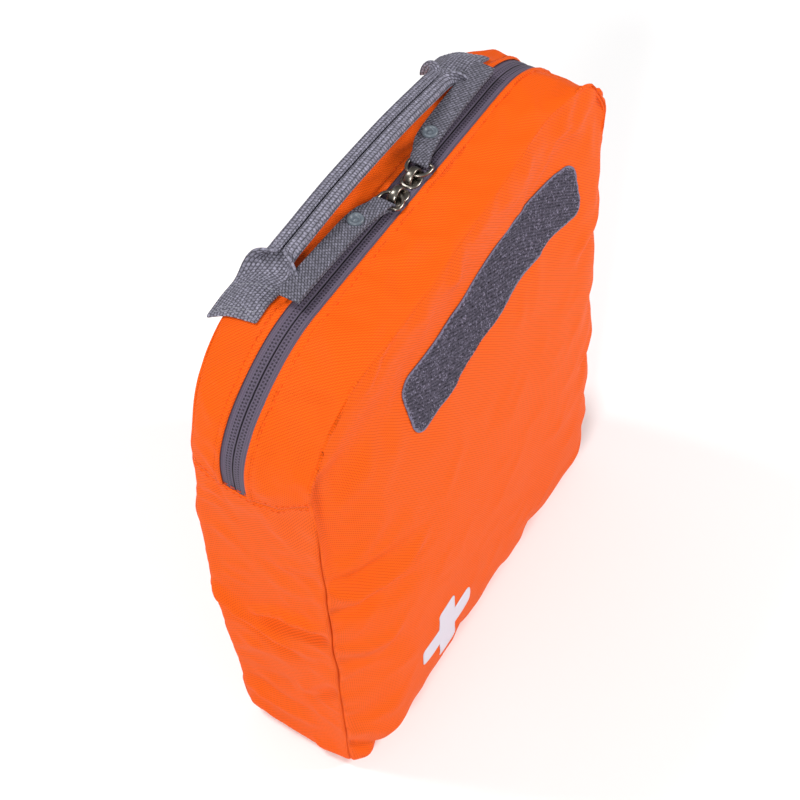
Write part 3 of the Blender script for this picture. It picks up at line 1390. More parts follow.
def handle(top):
    """The handle: one length of webbing, sewn flat at both ends and rolled for the hand."""
    stops = (-SEWN_OUT, -SEWN_IN, -ROLLED_X, ROLLED_X, SEWN_IN, SEWN_OUT)
    stations = np.concatenate([
        np.linspace(start, end, count)[:-1]
        for start, end, count in zip(stops, stops[1:], (10, 26, 60, 26, 10))
    ] + [[SEWN_OUT]])
    across = np.linspace(-WEB_W / 2, WEB_W / 2, 33)
    grid = np.zeros((len(stations), len(across), 3))
    for i, x in enumerate(stations):
        out = abs(x)
        left = x < 0
        x += LEFT_END_IN * smoothstep(-x, 52, 72)
        front_fold = 1 - smoothstep(out, *((53, 67) if left else (55, 68)))
        back_fold = 1 - smoothstep(out, 55 if left else 58, 69)
        section = rolled_section(across, EDGE_TURN * front_fold, EDGE_TURN * back_fold)
        rise = profile_value(HANDLE_RISE, np.array([out]))[0]
        middle_y = WEB_Y - 2.4 * (1 - smoothstep(out, 40, 72)) - 0.018 * x * (out < 72)
        free = np.stack([
            np.full(len(across), x), middle_y + section[:, 0], TOP_Z + rise + section[:, 1]
        ], axis=1)
        end_back = LEFT_END_BACK if left else RIGHT_END_BACK
        laid_y = WEB_Y + across + end_back * smoothstep(out, 40, 72)
        laid = []
        for y in laid_y:
            edge = SEAM_BACK - 1.5
            while top.height(x, edge) is None:
                edge -= 0.5
            z = top.height(x, min(y, edge))
            laid.append(z + WEB_T / 2 + 0.25 - 0.75 * max(0, y - edge))
        laid = np.stack([np.full(len(across), x), laid_y, laid], axis=1)
        free_share = 1 - smoothstep(out, 62, SEWN_IN + 1.5)
        grid[i] = laid + (free - laid) * free_share
    # the outer ends lift a little off the cloth
    lift = SEWN_LIFT * smoothstep(np.abs(stations), SEWN_OUT - 5, SEWN_OUT)
    grid[:, :, 2] += lift[:, None] * (0.6 + 0.4 * np.sin(across / 4.5))[None]
    uv = uv_grid(length_along(grid[:, len(across) // 2]), across)
    obj = face_out(grid_object("handle_webbing", grid, uv))
    thicken(obj, WEB_T, 0)
    subdivide(obj)
    apply_modifiers(obj)
    dress(obj, "handle_webbing")
    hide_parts("handle_end_left", "handle_end_right", "handle_grip")
    # the sewn ends stay with the case, and the rolled part tilts with the grip
    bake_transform(obj)

    # stitch rows across the sewn ends: two outer rows and one inner row on each side
    normal = grid_normals(grid)
    for side, label in SIDES:
        for number, distance in enumerate((SEWN_OUT - 1.5, SEWN_OUT - 3.6, SEWN_IN + 1.0)):
            nearest = int(np.argmin(np.abs(stations - side * distance)))
            out = normal[nearest, 2:-2]
            path = grid[nearest, 2:-2] + out * (WEB_T / 2 + 0.02)
            name = f"stitches_handle_{label}_{number + 1}"
            sewn = stitches(name, path, out, pitch=2.5, length=1.8, radius=0.3)
            place(sewn, "web_thread", "case", slot="handle_webbing")


# ==== sliders, rings, tabs and rivets ====

SLIDER_LOW, SLIDER_HIGH = cad_box("slider_right")
MEET_X = SLIDER_LOW[0] - 0.3
RING_LOW, RING_HIGH = cad_box("pull_ring_right")
RING_Z = (RING_LOW[2] + RING_HIGH[2]) / 2
WIRE_R = 0.75
RING_R = (RING_HIGH[1] - RING_LOW[1]) / 2 - WIRE_R
BAR_X = RING_HIGH[0] - WIRE_R - MEET_X
BRIDGE_X = RING_LOW[0] + WIRE_R - MEET_X
BRIDGE_R = 3.9
PLATE_TOP = SLIDER_HIGH[2] - BRIDGE_R - 0.8
TAB_END = cad_box("pull_tab_right")[1][0] - MEET_X
TAB_W = 10.0
TAB_LAYER = 1.15
RIVET_X = BAR_X + 14.0

# half the outline of the slider's plates, and their crown: (share of the outline, height)
SLIDER_OUTLINE = [(0.3, 0), (0.7, 2.1), (2.0, 3.7), (4.2, 4.3), (6.6, 4.05), (8.8, 3.45), (10.6, 2.9),
                  (11.25, 1.5), (11.4, 0)]
PLATE_CROWN = [
    (0.93, 0.0), (1.0, 0.25), (1.0, 0.8), (0.94, 1.12), (0.8, 1.3), (0.45, 1.42), (0.1, 1.45)
]


def on_pull(points, side):
    """Moves points drawn outwards from the meeting of the sliders to their place on one side."""
    points = np.array(points, float)
    points[:, 0] = MEET_X + side * points[:, 0]
    points[:, 1] += ZIP_Y
    return points


def pull_part(name, key, parts, side, body, node):
    """A solid piece drawn outwards from the meeting of the sliders, put in its place."""
    placed = [(on_pull(points, side), faces, uv) for points, faces, uv in parts]
    return part(name, key, placed, body, node)


def slider(side, label):
    """Zip slider: two crowned plates, the wedge between them and a broad bridge for the ring."""
    half = smooth_curve(SLIDER_OUTLINE, 33)
    outline = np.concatenate([half, half[-2:0:-1] * (1, -1)])
    middle = outline.mean(axis=0)
    parts = []
    for base, turn in ((PLATE_TOP - 1.2, 1), (PLATE_TOP - 3.9, -1)):
        parts.append(loft([
            np.insert(middle + (outline - middle) * scale, 2, base + turn * up, axis=1)
            for scale, up in PLATE_CROWN
        ]))
    wedge = rounded_section(3.0, 1.2, 0.4) + (2.7, 0)
    parts.append(prism(wedge, (PLATE_TOP - 4.2, PLATE_TOP - 0.6)))
    # side walls that turn down over the coil
    for edge in (-1, 1):
        wall = rounded_section(6.4, 0.7, 0.3) + (5.6, edge * 3.65)
        parts.append(prism(wall, (PLATE_TOP - 4.0, PLATE_TOP - 3.0, PLATE_TOP - 2.0)))
    # the bridge, broad and rounded over
    angle = np.radians(np.linspace(184, -4, 37))
    squash = np.where(np.cos(angle) < 0, 1.0, 1.08)
    path = np.stack([
        BRIDGE_X + BRIDGE_R * np.cos(angle) * squash, np.zeros(len(angle)),
        PLATE_TOP + BRIDGE_R * np.sin(angle),
    ], axis=1)
    over = np.stack([np.cos(angle), np.zeros(len(angle)), np.sin(angle)], axis=1)
    sides = np.broadcast_to(np.array([0.0, 1.0, 0.0]), path.shape)
    width = 3.1 + 0.5 * np.abs(np.cos(angle)) ** 3
    section = rounded_section(1.0, 1.45, 0.45, 5)
    parts.append(sweep(path, section, sides * width[:, None], over))
    body = f"slider_{label}"
    pull_part(f"slider_body_{label}", "slider_metal", parts, side, body, body)


RING_CORNER = 1.5


def ring_path():
    """Middle of the ring's wire: half a circle under the bridge, legs, and a straight bar."""
    inner = RING_R - RING_CORNER
    curve = []
    for x, y, radius, start, end, count in (
        (BRIDGE_X + RING_R, 0, RING_R, 90, 270, 31),
        (BAR_X - RING_CORNER, -inner, RING_CORNER, 270, 360, 9),
        (BAR_X - RING_CORNER, inner, RING_CORNER, 0, 90, 9),
    ):
        for a in np.radians(np.linspace(start, end, count)):
            curve.append((x + radius * math.cos(a), y + radius * math.sin(a), RING_Z))
    return np.array(curve)


def ring(side, label):
    wire = tube(ring_path(), WIRE_R, 14, closed=True)
    body = f"pull_ring_{label}"
    pull_part(f"wire_ring_{label}", "slider_metal", [wire], side, body, body)


# how much longer than the CAD's each tab is
TAB_LONGER = {"left": 3.5, "right": 2.0}

# lie of the tab above the ring's bar, and how it drifts back towards the handle
TAB_RISE = [(8, 0), (13, 0.1), (20, 0.6), (32, 1.1), (45, 1.6), (58, 2.1), (71, 2.2), (84, 2.0)]
TAB_DRIFT = [(6, 0), (10, 0.3), (14, 1.4), (20, 3.6), (26, 4.9), (34, 5.4), (50, 5.6), (84, 5.6)]


def tab(side, label):
    """Pull tab: one length of webbing doubled round the ring's bar."""
    eye = WIRE_R + 0.15 + TAB_LAYER / 2
    gap = TAB_LAYER / 2 + 0.06
    start = BAR_X + 3.4
    end = TAB_END + TAB_LONGER[label]
    neck = smooth_curve([
        (start, -gap), (BAR_X + 1.7, -eye * 0.72), (BAR_X, -eye), (BAR_X - eye, 0), (BAR_X, eye),
        (BAR_X + 1.7, eye * 0.72), (start, gap),
    ], 40)
    low = [(x, -gap) for x in np.linspace(end - 0.7, start, 44)]
    high = [(x, gap) for x in np.linspace(start, end, 46)]
    line = np.array(low[:-1] + neck.tolist() + high[1:])
    rise = profile_value(TAB_RISE, line[:, 0])
    drift = profile_value(TAB_DRIFT, line[:, 0])
    narrow = 1 - 0.13 * (1 - smoothstep(line[:, 0], BAR_X + 2, BAR_X + 9))
    across = np.linspace(-0.5, 0.5, 13)
    grid = np.zeros((len(line), len(across), 3))
    grid[..., 0] = line[:, :1]
    grid[..., 1] = across * TAB_W * narrow[:, None] + drift[:, None]
    grid[..., 2] = RING_Z + (line[:, 1] + rise)[:, None] + 0.18 * (1 - (2 * across) ** 2)
    uv = uv_grid(length_along(line), across * TAB_W)
    placed = on_pull(grid.reshape(-1, 3), side).reshape(grid.shape)
    obj = grid_object(f"webbing_tab_{label}", placed, uv)
    thicken(obj, TAB_LAYER - 0.1, 0)
    subdivide(obj)
    body = f"pull_tab_{label}"
    place(recalculate(apply_modifiers(obj)), "tab_webbing", body, body)


# half sections of the snap rivet's cap and of the plate under the tab: (radius, height)
RIVET_CAP = [
    (0, 0.78), (0.55, 0.76), (0.8, 0.5), (1.35, 0.42), (1.8, 0.55), (2.05, 1.0), (2.35, 1.3),
    (2.75, 1.38), (3.1, 1.2), (3.35, 0.8), (3.42, 0.3), (3.3, -0.05), (0, -0.05),
]
RIVET_PLATE = [(0, 0.0), (2.9, 0.0), (3.2, -0.2), (3.1, -0.45), (2.4, -0.6), (0, -0.6)]


def rivet(side, label):
    """Snap rivet: a domed ring with a recessed middle, and the plate under the tab."""
    drift = profile_value(TAB_DRIFT, np.array([RIVET_X]))[0]
    parts = [
        lathe(RIVET_CAP, (RIVET_X, drift, RING_Z + TAB_LAYER + 0.85)),
        lathe(RIVET_PLATE, (RIVET_X, drift, RING_Z - TAB_LAYER + 0.75)),
    ]
    name, body, node = f"snap_rivet_{label}", f"pull_tab_{label}", f"tab_rivet_{label}"
    pull_part(name, "rivet_plastic", parts, side, body, node)


# ==== loop patch and print ====

PATCH_LOW, PATCH_HIGH = cad_box("loop_patch")
PATCH_CORNER = 8.0
PATCH_PITCH = 0.6
TUFT_PITCH = 1.25
PILE_BASE = 0.55
PILE_HEIGHT = 0.4
TUFT_HEIGHT = 1.0


def patch_inset(x, z):
    """Distance from the patch's edge, positive inside."""
    middle = (PATCH_LOW + PATCH_HIGH) / 2
    half = (PATCH_HIGH - PATCH_LOW) / 2
    qx = np.abs(x - middle[0]) - (half[0] - PATCH_CORNER)
    qz = np.abs(z - middle[2]) - (half[2] - PATCH_CORNER)
    outside = np.hypot(np.maximum(qx, 0), np.maximum(qz, 0))
    return PATCH_CORNER - outside - np.minimum(np.maximum(qx, qz), 0)


def drape(surface, x, z, step=6.0):
    """Front depth of the cloth under points, smoothed as a stiffer layer lies on it."""
    low_x, high_x = x.min() - step, x.max() + step
    low_z, high_z = z.min() - step, z.max() + step
    xs = np.arange(low_x, high_x + step, step)
    zs = np.arange(low_z, high_z + step, step)
    depth = np.array([[surface.front(px, pz) for px in xs] for pz in zs], float)
    fx = (x - xs[0]) / step
    fz = (z - zs[0]) / step
    i = np.clip(fz.astype(int), 0, len(zs) - 2)
    j = np.clip(fx.astype(int), 0, len(xs) - 2)
    a, b = fz - i, fx - j
    a, b = a * a * (3 - 2 * a), b * b * (3 - 2 * b)
    return (
        depth[i, j] * (1 - a) * (1 - b) + depth[i, j + 1] * (1 - a) * b
        + depth[i + 1, j] * a * (1 - b) + depth[i + 1, j + 1] * a * b
    )


# how the sewn patch bows: (place along X, how much higher than straight)
PATCH_BOW = [(-70, -2.0), (-54, -1.5), (-20, -0.5), (15, 2.5), (38, 3.5), (62, -0.5), (91, -6.0),
             (110, -9.0)]
PATCH_ENDS = (-57.5, 90.5)


def patch_place(x, z):
    """Where the points of the straight patch lie on the bulging cloth."""
    share = (x - PATCH_LOW[0]) / (PATCH_HIGH[0] - PATCH_LOW[0])
    x = PATCH_ENDS[0] + (PATCH_ENDS[1] - PATCH_ENDS[0]) * share
    return x, z + profile_value(PATCH_BOW, x.ravel()).reshape(x.shape)


def patch(surface):
    """Loop patch: a fuzzy pile in slanting rows with a flat selvedge on its long edges."""
    rows = int(round((PATCH_HIGH[2] - PATCH_LOW[2]) / PATCH_PITCH)) + 1
    cols = int(round((PATCH_HIGH[0] - PATCH_LOW[0]) / PATCH_PITCH)) + 1
    z, x = np.meshgrid(
        np.linspace(PATCH_LOW[2], PATCH_HIGH[2], rows),
        np.linspace(PATCH_LOW[0], PATCH_HIGH[0], cols), indexing="ij",
    )
    # draw the square grid's corners in onto the rounded outline
    middle = (PATCH_LOW + PATCH_HIGH) / 2
    for _ in range(3):
        over = np.minimum(patch_inset(x, z), 0)
        grow = 0.05
        gx = (patch_inset(x + grow, z) - patch_inset(x - grow, z)) / (2 * grow)
        gz = (patch_inset(x, z + grow) - patch_inset(x, z - grow)) / (2 * grow)
        size = np.maximum(np.hypot(gx, gz), 1e-6)
        x = x - over * gx / size
        z = z - over * gz / size
    inset = patch_inset(x, z)
    x0, z0 = x.copy(), z.copy()
    wobble = 0.7 * np.sin(x / 13.0) + 0.35 * np.sin(x / 5.5 + 1)
    z = z + wobble * (z - middle[2]) / 15.0
    x, z = patch_place(x, z)
    base = drape(surface, x, z)
    # tufts on a slanting lattice
    rng = np.random.default_rng(21)
    a, b = (x0 + 0.55 * z0) / TUFT_PITCH, (z0 - 0.25 * x0) / TUFT_PITCH
    ia, ib = np.floor(a).astype(int), np.floor(b).astype(int)
    table = rng.uniform(0.35, 1.0, (64, 64))
    shift = rng.uniform(0.3, 0.7, (64, 64, 2))
    tall = table[ia % 64, ib % 64]
    da = a - ia - shift[ia % 64, ib % 64, 0]
    db = b - ib - shift[ia % 64, ib % 64, 1]
    tuft = tall * np.exp(-(da**2 + db**2) / 0.09)
    pile = smoothstep(inset, 0.9, 1.9)
    height = PILE_BASE + pile * (PILE_HEIGHT + TUFT_HEIGHT * tuft)
    top = np.stack([x, base - height, z], axis=2)
    under = np.stack([x, base - 0.05, z], axis=2)
    points, faces, uv = closed_sheet(top, under, np.stack([x0, z0], axis=2) * MM)
    obj = mesh_object("loop_patch_pile", points, faces, uv)
    dress(obj, "loop_pile")
    obj.data.materials.append(MATERIALS["selvedge"])
    # the rim is selvedge, frayed to differing depths
    inner = (inset[:-1, :-1] + inset[1:, 1:]).ravel() / 2
    ragged = 1.0 + 0.35 * np.sin((x0 + 1.3 * z0)[:-1, :-1].ravel() * 2.1)
    selvedge = np.ones(len(faces), np.int32)
    selvedge[: len(inner)] = inner < ragged
    selvedge[len(inner) : 2 * len(inner)] = 0
    obj.data.polygons.foreach_set("material_index", selvedge)
    recalculate(obj)
    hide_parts("loop_patch")
    fold_with_cover(obj)


CROSS_CORNER = 2.6


def cross_outline(low, high):
    """A plain cross with rounded ends, seen from the front, clockwise."""
    middle = ((low + high) / 2)[[0, 2]]
    arm = (high[0] - low[0]) / 2
    wide = arm / 3
    angle = np.radians(np.linspace(90, 0, 7))
    corner = CROSS_CORNER * (np.stack([np.cos(angle), np.sin(angle)], axis=1) - 1)
    quarter = np.concatenate([corner + (wide, arm), [(wide, wide)], corner + (arm, wide)])
    points = []
    for turn in range(4):
        a = -turn * math.pi / 2
        points.append(quarter @ np.array([(math.cos(a), math.sin(a)), (-math.sin(a), math.cos(a))]))
    return np.concatenate(points) + middle


def print_mark(surface):
    """The reflective print: a plain cross lying on the cloth."""
    low, high = cad_box("reflective_mark")
    outline = cross_outline(low, high)
    fine, = resample(np.concatenate([outline, outline[:1]]), 1.2)
    fine = fine[:-1]
    zs, xs = np.meshgrid(
        np.arange(low[2], high[2], 1.6), np.arange(low[0], high[0], 1.6), indexing="ij"
    )
    grid = np.stack([xs.ravel(), zs.ravel()], axis=1)
    gap = np.linalg.norm(grid[:, None] - fine[None], axis=2).min(axis=1)
    verts = [Vector(p) for p in np.concatenate([fine, grid[gap > 0.8]])]
    edges = [(k, (k + 1) % len(fine)) for k in range(len(fine))]
    flat, _, faces, *_ = delaunay_2d_cdt(verts, edges, [], 1, 1e-5)
    points = np.array([(p.x, surface.front(p.x, p.y) - 0.28, p.y) for p in flat])
    obj = mesh_object("reflective_print", points, faces, points[:, [0, 2]] * MM)
    face_out(obj)
    thicken(obj, 0.25, -1)
    place(apply_modifiers(obj), "reflective_print", "case", "reflective_mark")


# ==== inside the case ====


def panel_slab(name, inset, y0, y1, edge=0.6):
    """A flat sheet in the outline of the case, its rim rounded over."""
    station, outline, normals = outline_stations()
    at = shell_columns()
    grids = []
    for y, shrink in ((y0, edge), (y0 + edge, 0.0), (y1 - edge, 0.0), (y1, edge)):
        loop = read_at(at, station, outline) - (inset + shrink) * read_at(at, station, normals)
        loop = np.insert(loop, 1, y, axis=1)
        grid = coons(loop)
        gap = seam_distance(grid, loop)
        lean = np.minimum(profile_value(BACK_LEAN, grid[..., 2].ravel()), 0).reshape(gap.shape)
        grid[..., 1] += 0.8 * lean * np.exp(-(gap + 3) / 9)
        grids.append(grid)
    front, *middle_rings, back = grids
    uv = front[..., [0, 2]] * MM
    wavy = 0.15 * waves(front[..., 0], 31, (70, 110)) * waves(front[..., 2], 32, (80, 130))
    front[..., 1] -= np.minimum(wavy, 0)
    points, faces, uv = closed_sheet(front, back, uv)
    # two more rings of points round the rim
    rim = grid_rim(*front.shape[:2])
    count = front.shape[0] * front.shape[1]
    extra = np.concatenate([g.reshape(-1, 3)[rim] for g in middle_rings])
    points = np.concatenate([points, extra])
    uv = np.concatenate([uv, extra[:, [0, 2]] * MM])
    faces = faces[: -len(rim)].tolist()
    first = 2 * count + np.arange(len(rim))
    second = first + len(rim)
    for a, b in ((rim, first), (first, second), (second, rim + count)):
        faces += np.stack([a, np.roll(a, -1), np.roll(b, -1), b], axis=1).tolist()
    return mesh_object(name, points, faces, uv)


# bands sewn in at a seam: (how far inside it, thickness, width)
ALLOWANCE = (1.7, 1.1, 3.4)
BINDING = (4.3, 1.5, 6.0)


def seam_run(gusset_row, band, shift):
    """(points, faces, uv) of a band running all round just inside a seam, shifted along Y."""
    depth, thick, wide = band
    inward = CENTRE - gusset_row
    inward[:, 1] = 0
    inward /= np.linalg.norm(inward, axis=1, keepdims=True)
    path = gusset_row + depth * inward + (0, shift, 0)
    section = rounded_section(thick, wide, 0.45 * thick, 4)
    over = np.broadcast_to((0.0, 1.0, 0.0), path.shape)
    return sweep(path, section, inward, over, closed=True)


def zip_line(gusset):
    """The middle of the zip between its two ends, with its outward normals."""
    arch = wrap_columns(COL_ZIP_LEFT, COL_ZIP_RIGHT)
    row = int(np.argmin(np.abs(ROWS - ZIP_Y)))
    normal = grid_normals(gusset)
    return gusset[row][arch], normal[row][arch]


COIL_PITCH = 1.45
COIL_DEPTH = 2.6
COIL_MIDDLE = 1.35
COIL_ACROSS = 1.2
COIL_HIGH = 0.62
COIL_WIRE_R = 0.3


def coil(gusset, side_sign):
    """(points, faces, uv) of one half of the zip's coil: a flattened spiral of nylon wire on the
    inside of the tape, its loops reaching the middle."""
    path, normal = zip_line(gusset)
    path, normal = resample(path, COIL_PITCH / 8, normal)
    normal /= np.linalg.norm(normal, axis=1, keepdims=True)
    turn = 2 * math.pi * length_along(path) / COIL_PITCH + (math.pi if side_sign > 0 else 0)
    across = np.cross(tangents(path), normal)
    across *= np.sign(across[:, 1:2]) * side_sign
    reach = COIL_MIDDLE + COIL_ACROSS * np.cos(turn)
    wire = path - COIL_DEPTH * normal + across * reach[:, None]
    wire += normal * (COIL_HIGH * np.sin(turn))[:, None]
    return tube(wire, COIL_WIRE_R, 5)


def end_tacks(gusset):
    """(points, faces, uv) parts of the thread bars across both ends of the zip, inside."""
    parts = []
    rows = [k for k, y in enumerate(ROWS) if -4.5 < y < 8.5]
    normal = grid_normals(gusset)
    for column, step in ((COL_ZIP_LEFT, -1), (COL_ZIP_RIGHT, 1)):
        for number in range(7):
            share = 0.2 + 0.13 * number
            line = gusset[rows, column] * (1 - share) + gusset[rows, column + step] * share
            line = line - 1.75 * normal[rows, column]
            line[:, 2] += 0.12 * (-1) ** number
            parts.append(tube(line, 0.27, 6))
    return parts


def seam_tapes(gusset):
    """Short tapes inside the case over the ends of the lower gusset."""
    rows = np.array([k for k, y in enumerate(ROWS) if -28 < y < 28])
    normal = grid_normals(gusset)
    parts = []
    for column, step in ((COL_ZIP_LEFT, -1), (COL_ZIP_RIGHT, 1)):
        cols = np.array([column + step, column + 2 * step, column + 3 * step])
        flat = gusset[np.ix_(rows, cols)]
        out = normal[np.ix_(rows, cols)]
        outer = flat - 1.5 * out
        inner = flat - 2.2 * out
        uv = np.stack([flat[..., 2], flat[..., 1]], axis=2) * MM
        parts.append(closed_sheet(outer, inner, uv))
    return parts


PACKET_STEP = 1.8
PACKET_GAP = 0.6


def packet(low, high, seed, seal=5.0, film=0.5, wrinkle=0.3):
    """(points, faces, uv) of a flat packet: two films sealed round what they hold."""
    cols = max(8, int((high[0] - low[0]) / PACKET_STEP))
    rows = max(8, int((high[2] - low[2]) / PACKET_STEP))
    z, x = np.meshgrid(
        np.linspace(low[2], high[2], rows), np.linspace(low[0], high[0], cols), indexing="ij"
    )
    size = high - low
    middle = (low + high) / 2
    inset = np.minimum(
        np.minimum(x - low[0], high[0] - x), np.minimum(z - low[2], high[2] - z)
    )
    full = smoothstep(inset, 0.55 * seal, seal + 3.5)
    u, v = (x - middle[0]) / size[0] * 2, (z - middle[2]) / size[2] * 2
    half = film / 2 + (size[1] - film) / 2 * full * (1 - 0.12 * (u**2 + v**2))
    round_edge = np.arctan2(v, u) * (size[0] + size[2]) / math.pi
    gather = waves(round_edge, seed, (7.0, 9.5, 13.0)) * np.exp(-((inset - seal) / 5.0) ** 2)
    broad = 0.5 * waves(x + 0.6 * z, seed + 1, (31, 47)) * waves(z - 0.4 * x, seed + 2, (37, 53))
    bend = 0.5 * wrinkle * waves(x, seed + 3, (size[0], 0.6 * size[0])) * (1 - full)
    centre = middle[1] + bend
    give = np.clip(half - film / 2, 0, 1)
    front = np.stack([x, centre - half + wrinkle * (gather + broad) * give, z], axis=2)
    back = np.stack([x, centre + half - wrinkle * (gather - broad) * give, z], axis=2)
    uv = np.stack([x - low[0], z - low[2]], axis=2) * MM
    return closed_sheet(front, back, uv)


def packets(name, key, node, count, seed, **look):
    """A stack of equal packets from front to back in the place of a CAD node."""
    low, high = cad_box(node)
    step = (high[1] - low[1] + PACKET_GAP) / count
    parts = []
    for k in range(count):
        front = np.array([low[0], low[1] + k * step, low[2]])
        back = np.array([high[0], front[1] + step - PACKET_GAP, high[2]])
        parts.append(packet(front, back, seed + 5 * k, **look))
    return part(name, key, parts, "case", node)


def roll(name, key, node, axis, core, turns, seed):
    """A bandage or tape wound round itself in the place of its CAD node, about X (axis 0) or Y
    (axis 1)."""
    low, high = cad_box(node)
    others = [k for k in (0, 1, 2) if k != axis]
    middle = (low + high)[others] / 2
    pitch = ((high - low)[others].min() / 2 - core) / turns
    thick = pitch * 0.82
    angle = np.linspace(0, 2 * math.pi * turns, int(turns * 40) + 1)
    r = core + pitch * angle / (2 * math.pi) - thick / 2
    r = r + 0.06 * pitch * waves(angle * 10, seed, (17, 23, 41))
    edge = 0.28 * waves(angle * 8, seed + 1, (60, 83, 37))
    across = np.array([0.0, 0.02, 0.06, 0.25, 0.5, 0.75, 0.94, 0.98, 1.0])
    across = 0.35 + (high[axis] - low[axis] - 0.7) * across
    ring = np.stack([np.cos(angle + 2.0), np.sin(angle + 2.0)], axis=1) * r[:, None]
    grid = np.zeros((len(angle), len(across), 3))
    grid[..., axis] = low[axis] + across + edge[:, None]
    grid[..., others] = (middle + ring)[:, None]
    obj = grid_object(name, grid, uv_grid(length_along(ring), across))
    thicken(obj, thick, 0)
    place(recalculate(apply_modifiers(obj)), key, "case", node)


def pocket_depth(x, z, low, high, reach=5.0):
    """Depth of the pocket's net: it stands out from the organiser and comes back to it at its
    sides and bottom."""
    gap = np.minimum(np.minimum(x - low[0], high[0] - x), z - low[2])
    out = smoothstep(gap, 0.0, reach)
    return high[1] + (low[1] - high[1]) * out


def mesh_pocket():
    """The organiser's pocket of hexagonal net."""
    low, high = cad_box("mesh_pocket")
    side = 2.6
    width = side * math.sqrt(3)
    cols = 2 * int((high[0] - low[0]) / width)
    rows = int((high[2] - low[2] - side) / (1.5 * side)) + 1
    i, j = np.meshgrid(np.arange(cols + 1), np.arange(rows + 1))
    x = low[0] + i * (high[0] - low[0]) / cols
    z = low[2] + (j + 0.25) * (high[2] - low[2]) / (rows + 0.5) + side / 4 * (-1.0) ** (i + j)
    y = pocket_depth(x, z, low, high)
    y = y + 0.25 * waves(x, 51, (90, 60)) * waves(z, 52, (80, 50)) * (y < low[1] + 2)
    points = np.stack([x, y, z], axis=2).reshape(-1, 3)
    faces = []
    for row in range(rows):
        for col in range(1 if row % 2 == 0 else 0, cols - 1, 2):
            a = row * (cols + 1) + col
            b = a + cols + 1
            faces.append([a, a + 1, a + 2, b + 2, b + 1, b])
    obj = mesh_object("pocket_net", points, faces)
    bm = bmesh.new()
    bm.from_mesh(obj.data)
    loose = [v for v in bm.verts if not v.link_faces]
    bmesh.ops.delete(bm, geom=loose, context="VERTS")
    bm.to_mesh(obj.data)
    bm.free()
    net = obj.modifiers.new("net", "WIREFRAME")
    net.thickness = 0.55 * MM
    net.use_even_offset = False
    net.use_boundary = True
    apply_modifiers(obj)
    obj.data.polygons.foreach_set("use_smooth", [True] * len(obj.data.polygons))
    place(obj, "pocket_mesh", "case", "mesh_pocket")


def upright_band(knots, count, z, thick, wide, corner):
    """(points, faces, uv) of a band standing on edge that runs level through (x, y) knots."""
    path = np.insert(smooth_curve(knots, count), 2, z, axis=1)
    along = tangents(path)
    side = np.stack([-along[:, 1], along[:, 0], along[:, 2]], axis=1)
    section = rounded_section(thick, wide, corner)
    return sweep(path, section, side, np.broadcast_to(UP, path.shape))


def pocket_hem():
    """Elastic binding along the pocket's mouth, slightly gathered, turned in at both ends."""
    low, high = cad_box("pocket_binding")
    organiser_y = cad_box("organiser_panel")[0][1]
    middle_y = (low[1] + high[1]) / 2
    ends = [(0.4, organiser_y - 0.4), (1.2, organiser_y - 5), (5, middle_y + 0.6)]
    run = np.linspace(low[0] + 12, high[0] - 12, 60)
    knots = [(low[0] + x, y) for x, y in ends]
    knots += [(x, middle_y + 0.15 * math.sin(x / 5.0)) for x in run]
    knots += [(high[0] - x, y) for x, y in reversed(ends)]
    z = (low[2] + high[2]) / 2 - 0.4
    band = upright_band(knots, 260, z, 1.3, high[2] - low[2] + 1.6, 0.6)
    part("pocket_elastic", "binding_tape", [band], "case", "pocket_binding")


def tool_loop(x0, x1, back_y, z0, z1, surface):
    """(points, faces, uv) of an elastic loop sewn to the inside of the front panel."""
    def cloth(x, off=0.0):
        deepest = max(surface.front(x, z) for z in (z0, (z0 + z1) / 2, z1))
        return x, deepest + CLOTH_T + 1.0 + off

    knots = [
        cloth(x0 - 5.0), cloth(x0 - 2.5, 0.1), cloth(x0, 1.8), (x0 + 0.2, back_y - 5),
        (x0 + 1.0, back_y - 0.9), (x0 + 2.6, back_y), ((x0 + x1) / 2, back_y + 0.2),
        (x1 - 2.6, back_y), (x1 - 1.0, back_y - 0.9), (x1 - 0.2, back_y - 5), cloth(x1, 1.8),
        cloth(x1 + 2.5, 0.1), cloth(x1 + 5.0),
    ]
    return upright_band(knots, 90, (z0 + z1) / 2, 1.0, z1 - z0, 0.4)


def card_box(low, high):
    """(points, faces, uv) parts of a folding carton: its body, tuck flap and overlapping side."""
    size = high - low
    middle = (low + high) / 2
    body = []
    for z, grow in (
        (low[2], -0.5), (low[2] + 0.5, 0.0), (middle[2], 0.25), (high[2] - 0.9, 0.0),
        (high[2] - 0.6, -0.4),
    ):
        section = rounded_section(size[0] - 0.6 + grow, size[1] - 0.6 + grow, 0.7) + middle[:2]
        body.append(np.insert(section, 2, z, axis=1))
    lid = rounded_section(size[0] - 0.8, size[1] - 0.9, 0.9) + middle[:2]
    # the glued side overlaps
    seam = rounded_section(9.0, size[2] - 3, 0.5, 3) + (high[0] - 6.0, middle[2])
    return [
        loft(body),
        prism(lid, (high[2] - 0.5, high[2] - 0.35, high[2] - 0.1)),
        loft([np.insert(seam, 1, y, axis=1) for y in (high[1] - 0.35, high[1] - 0.05)]),
    ]


def dress_node(name, key, bevel):
    """A CAD node whose shape is right: its edges are eased and it gets its material."""
    obj = frame["nodes"][name]
    ease = obj.modifiers.new("eased_edges", "BEVEL")
    ease.width = bevel * MM
    ease.segments = 2
    ease.limit_method = "ANGLE"
    ease.angle_limit = math.radians(35)
    obj.data.materials.clear()
    obj.data.materials.append(MATERIALS[key])


